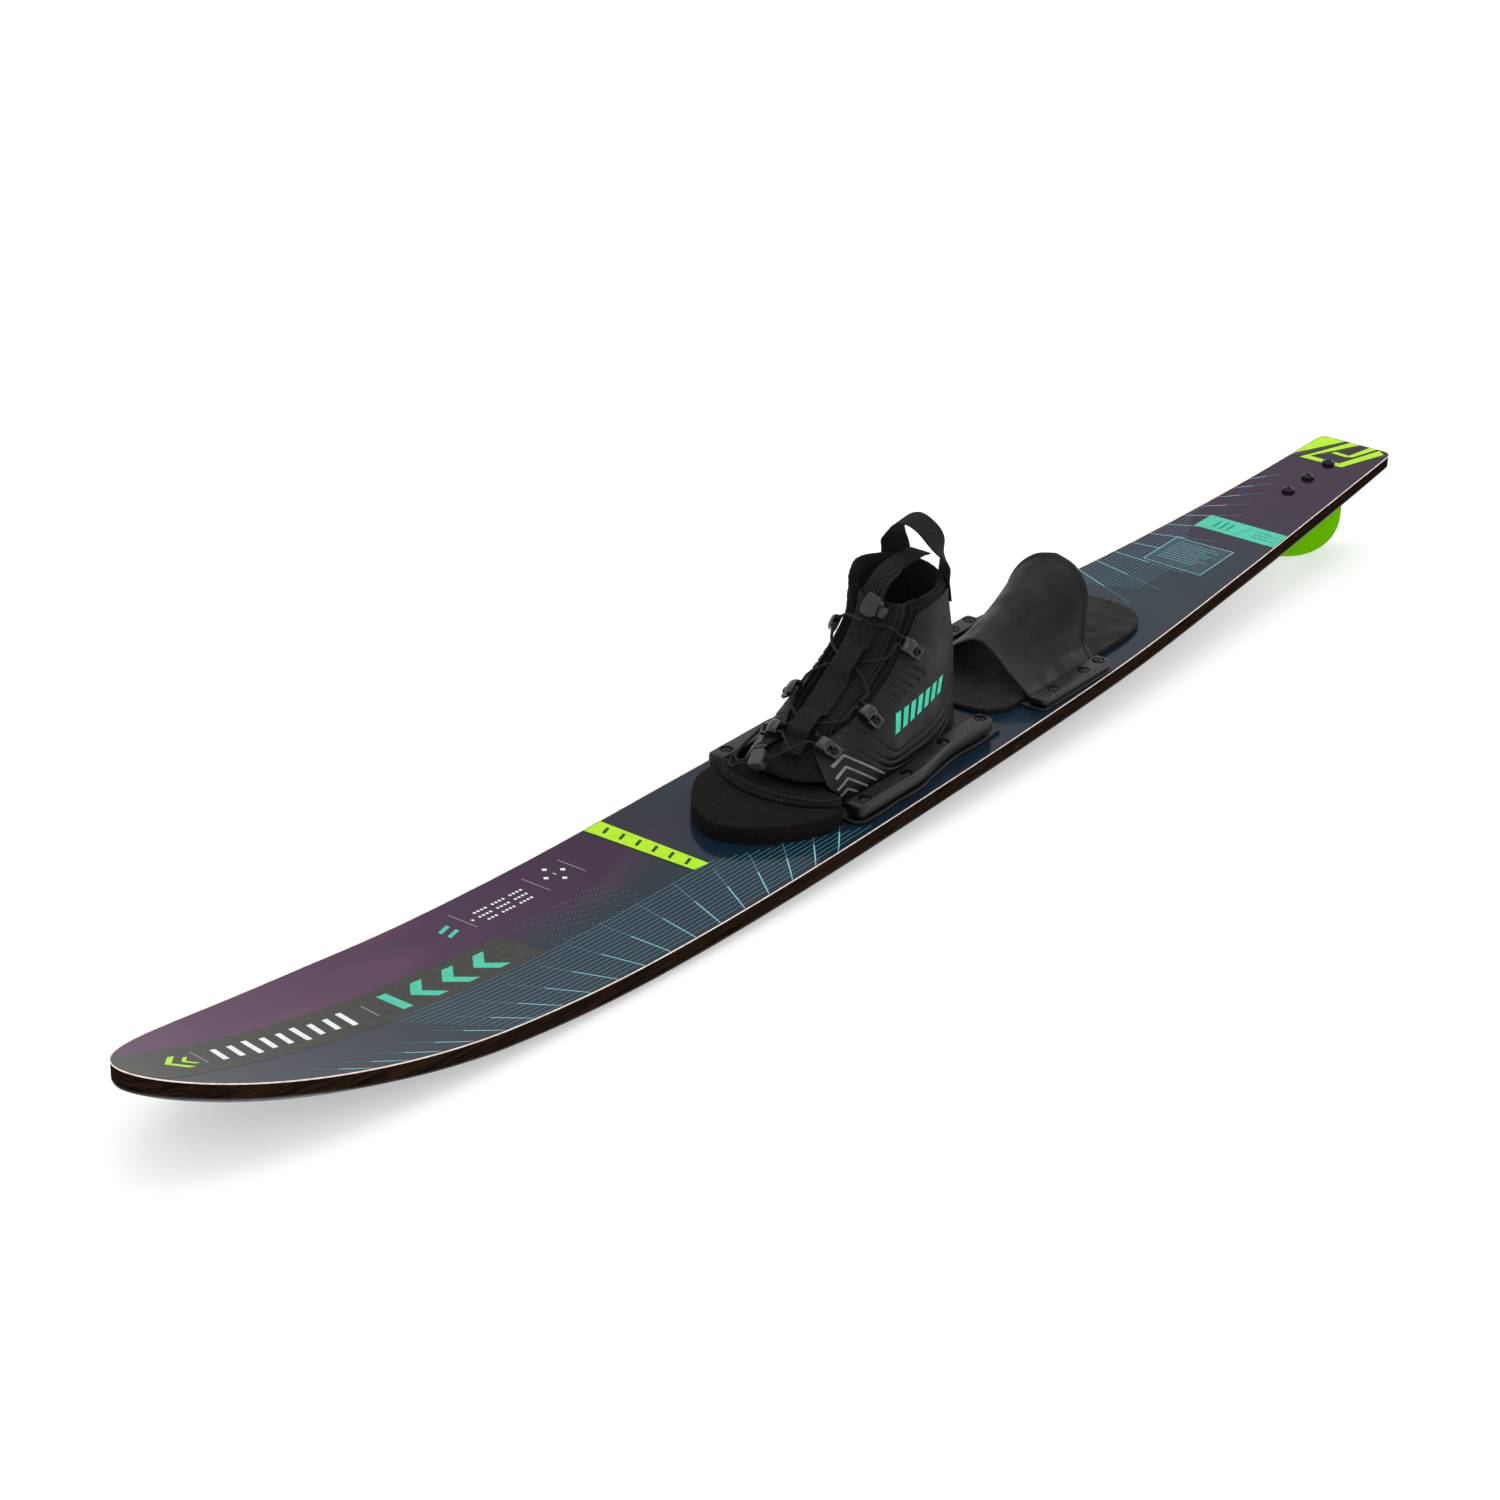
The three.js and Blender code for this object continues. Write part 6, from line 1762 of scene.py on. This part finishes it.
def deck_grid():
    """A perspective grid at each edge: lines along the ski crossed by a fan from a point beyond it."""
    bright, faint = Print(0.13), Print(0.11)
    for i in range(18):
        x_edge = 171 + 30.4 * i
        eye = np.array([383.0, 228.0])
        edge = np.array([x_edge, float(half_width(x_edge)) - 0.6])
        way = unit(edge - eye)
        reach = 70 * (1 - 0.35 * abs(i - 5) / 12)
        bright.line(edge, edge + way * reach * 0.55, 1.0)
        faint.line(edge + way * reach * 0.55, edge + way * reach, 0.8)
    for i in range(15):
        y = 81 - 4.3 * i
        start, end = 118 + 9.0 * i, 560 + 4 * i
        faint.line((start, y), (end, y), 0.75)
    for i in range(11):
        x_edge = -428 - 28.5 * i
        eye = np.array([-490.0, -195.0])
        edge = np.array([x_edge, -float(half_width(x_edge)) + 0.6])
        way = unit(edge - eye)
        reach = 86 - 5 * i
        bright.line(edge, edge + way * reach * 0.5, 0.9)
        faint.line(edge + way * reach * 0.5, edge + way * reach, 0.8)
    for i in range(16):
        y = -60 + 4.0 * i
        faint.line((-392 - 2.2 * i, y), (-640 + 9 * i - 30 * (i < 4), y), 0.7)
    panel = Print(0.14)
    panel.patch((-550, -30.5), (-489, -30.5), (-487, 30), (-552, 29))
    panel.build("deck_print_panel", PANEL)
    outline = Print(0.17)
    corners = [(-550, -30.5), (-489, -30.5), (-487, 30), (-552, 29)]
    for a, b in zip(corners, corners[1:] + corners[:1]):
        outline.line(a, b, 0.8)
    for i in range(9):
        outline.line((-543 + 5 * i, -24), (-543 + 5 * i, 16 + 6 * math.sin(2.3 * i)), 0.5)
    outline.build("deck_print_outline", LINE)
    dots = Print(0.12)
    for i in range(300):
        a, b = (i * 0.61803) % 1, (i * 0.75488) % 1
        x, y = 325 + 110 * a, -24 + 50 * b
        dots.patch((x, y), (x + 0.9, y), (x + 0.9, y + 0.9), (x, y + 0.9))
    dots.build("deck_print_dots", FAINT)
    bright.build("deck_print_fan", LINE)
    faint.build("deck_print_grid", FAINT)


# ---------------------------------------------------------------- marks on the boot
def boot_patch(name, patches, paint, lift=0.12):
    """Four-cornered marks on both sides of the boot, given as (x, z), laid on the shell's surface."""
    rows, columns = 11, 5
    points, faces = [], []
    for _, sign in SIDES:
        for a, b, c, d in np.array(patches, float):
            start = len(points)
            for i in range(rows):
                for j in range(columns):
                    t = i / (rows - 1)
                    x, z = lerp(lerp(a, b, t), lerp(d, c, t), j / (columns - 1))
                    points.append(boot_at(angle_at(x, z), z, np.array(lift)) * [1, sign, 1])
            faces += [tuple(start + k for k in face) for face in quads(rows, columns)]
    mesh = turned_out(name, points, faces, lambda face: face.normal.y * face.calc_center_median().y)
    place(name, mesh, Matrix(), paint, "rubber")


def angle_at(x, z):
    """The angle at which the boot's surface passes a place along the ski at a height."""
    ahead, astern = float(boot_front(z)), float(boot_back(z))
    along = (x - (ahead + astern) / 2) / ((ahead - astern) / 2)
    return math.degrees(math.acos(max(-1.0, min(1.0, along))))


def boot_bar(a, b, width):
    """A straight stripe on the boot's side between two places (x, z)."""
    way = unit(np.subtract(b, a))
    side = np.array([-way[1], way[0]]) * width / 2
    return (a - side, b - side, b + side, a + side)


def boot_marks():
    chevrons = []
    for apex, ahead, astern in CHEVRONS:
        chevrons += [boot_bar(ahead, apex, 1.7), boot_bar(apex, astern, 1.7)]
    boot_patch("boot_chevrons", chevrons, CHEVRON)
    bars = []
    for i in range(BAR_COUNT):
        a, b = i / BAR_COUNT, (i + 0.62) / BAR_COUNT
        low = [lerp(BAR_LOW[0], BAR_LOW[1], t) for t in (a, b)]
        high = [lerp(BAR_HIGH[0], BAR_HIGH[1], t + 0.04) for t in (a, b)]
        bars.append((low[0], low[1], high[1], high[0]))
    boot_patch("boot_side_bars", bars, BOOT_MARK)


# Nested marks over the toe, and two lines between which the side bars stand.
CHEVRONS = [  # apex, end towards the toe, end towards the heel, as (x, z)
    ((97, 39.5), (109.5, 33), (63, 16)),
    ((100, 32), (112.5, 25.5), (74, 14.5)),
    ((103, 24.5), (115, 18), (85, 13.2)),
    ((106, 17), (113.5, 13), (97, 12.6)),
]
BAR_COUNT = 7
BAR_LOW = np.array([(42, 41), (-35, 52)], float)
BAR_HIGH = np.array([(40, 56), (-37, 64.5)], float)


# ---------------------------------------------------------------- studio
CAMERA_LENS = 85.63
CAMERA_PLACE = (2.2646, 1.4398, 1.1972)
CAMERA_RIGHT = Vector((-0.58796, 0.80653, 0.06168))
CAMERA_UP = Vector((-0.29079, -0.28191, 0.91431))
FLOOR_HALF = 40.0
WORLD_LIGHT = 1.0
LIGHTS = (  # name, place, aim, size in m, power in W
    ("top", (-0.1, -0.4, 2.6), (0, 0, 0), 2.4, 22.0),
    ("near", (1.6, 1.8, 1.8), (0, 0, 0.1), 1.2, 9.0),
    ("tail", (-2.2, 0.6, 1.6), (-0.1, 0, 0.1), 1.0, 8.0),
)


def studio():
    scene = bpy.context.scene
    scene.view_settings.view_transform = "Standard"
    camera_data = bpy.data.cameras.new("camera")
    camera_data.lens = CAMERA_LENS
    camera_data.sensor_width = 36
    camera = bpy.data.objects.new("camera", camera_data)
    backwards = CAMERA_RIGHT.cross(CAMERA_UP)
    turn = Matrix((CAMERA_RIGHT, CAMERA_UP, backwards)).transposed().to_4x4()
    camera.matrix_world = Matrix.Translation(CAMERA_PLACE) @ turn
    scene.collection.objects.link(camera)
    scene.camera = camera

    world = bpy.data.worlds.new("studio")
    world.use_nodes = True
    world.node_tree.nodes["Background"].inputs[0].default_value = (1, 1, 1, 1)
    world.node_tree.nodes["Background"].inputs[1].default_value = WORLD_LIGHT
    scene.world = world

    # A back-lit white table: its own light keeps the shadow under the ski pale.
    table = Paint("floor", (0.62, 0.62, 0.62, 1), 0.9, Specular_IOR_Level=0.1, Emission_Strength=0.42)
    table.set("Emission Color", (1, 1, 1, 1))
    mesh = bpy.data.meshes.new("floor")
    corners = [(x * FLOOR_HALF, y * FLOOR_HALF, 0) for x, y in ((-1, -1), (1, -1), (1, 1), (-1, 1))]
    mesh.from_pydata(corners, [], [(0, 1, 2, 3)])
    mesh.materials.append(table.material)
    floor = bpy.data.objects.new("floor", mesh)
    floor.location.z = -0.0005
    scene.collection.objects.link(floor)
    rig.stage(floor)
    for name, place, aim, size, power in LIGHTS:
        data = bpy.data.lights.new(name, "AREA")
        data.size = size
        data.energy = power
        lamp = bpy.data.objects.new(name, data)
        lamp.location = place
        lamp.rotation_euler = (Vector(aim) - Vector(place)).to_track_quat("-Z", "Y").to_euler()
        scene.collection.objects.link(lamp)


# ---------------------------------------------------------------- assembly
studio()
ski_pieces()
fin_pieces()
plate_pieces()
pads()
boot_shell()
liner()
tongue()
tongue_webbing()
heel_loop()
guide_pieces()
lock_pieces()
spring_pieces()
finish_cad_nodes()
lace()
toe_strap()
rail_pieces()
make_screws()
deck_prints()
boot_marks()

sizes = {"cad": [list(corner) for corner in CAD_BOX], "visual": [list(corner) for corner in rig.bounds()]}
with open("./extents.json", "w") as out:
    json.dump(sizes, out)
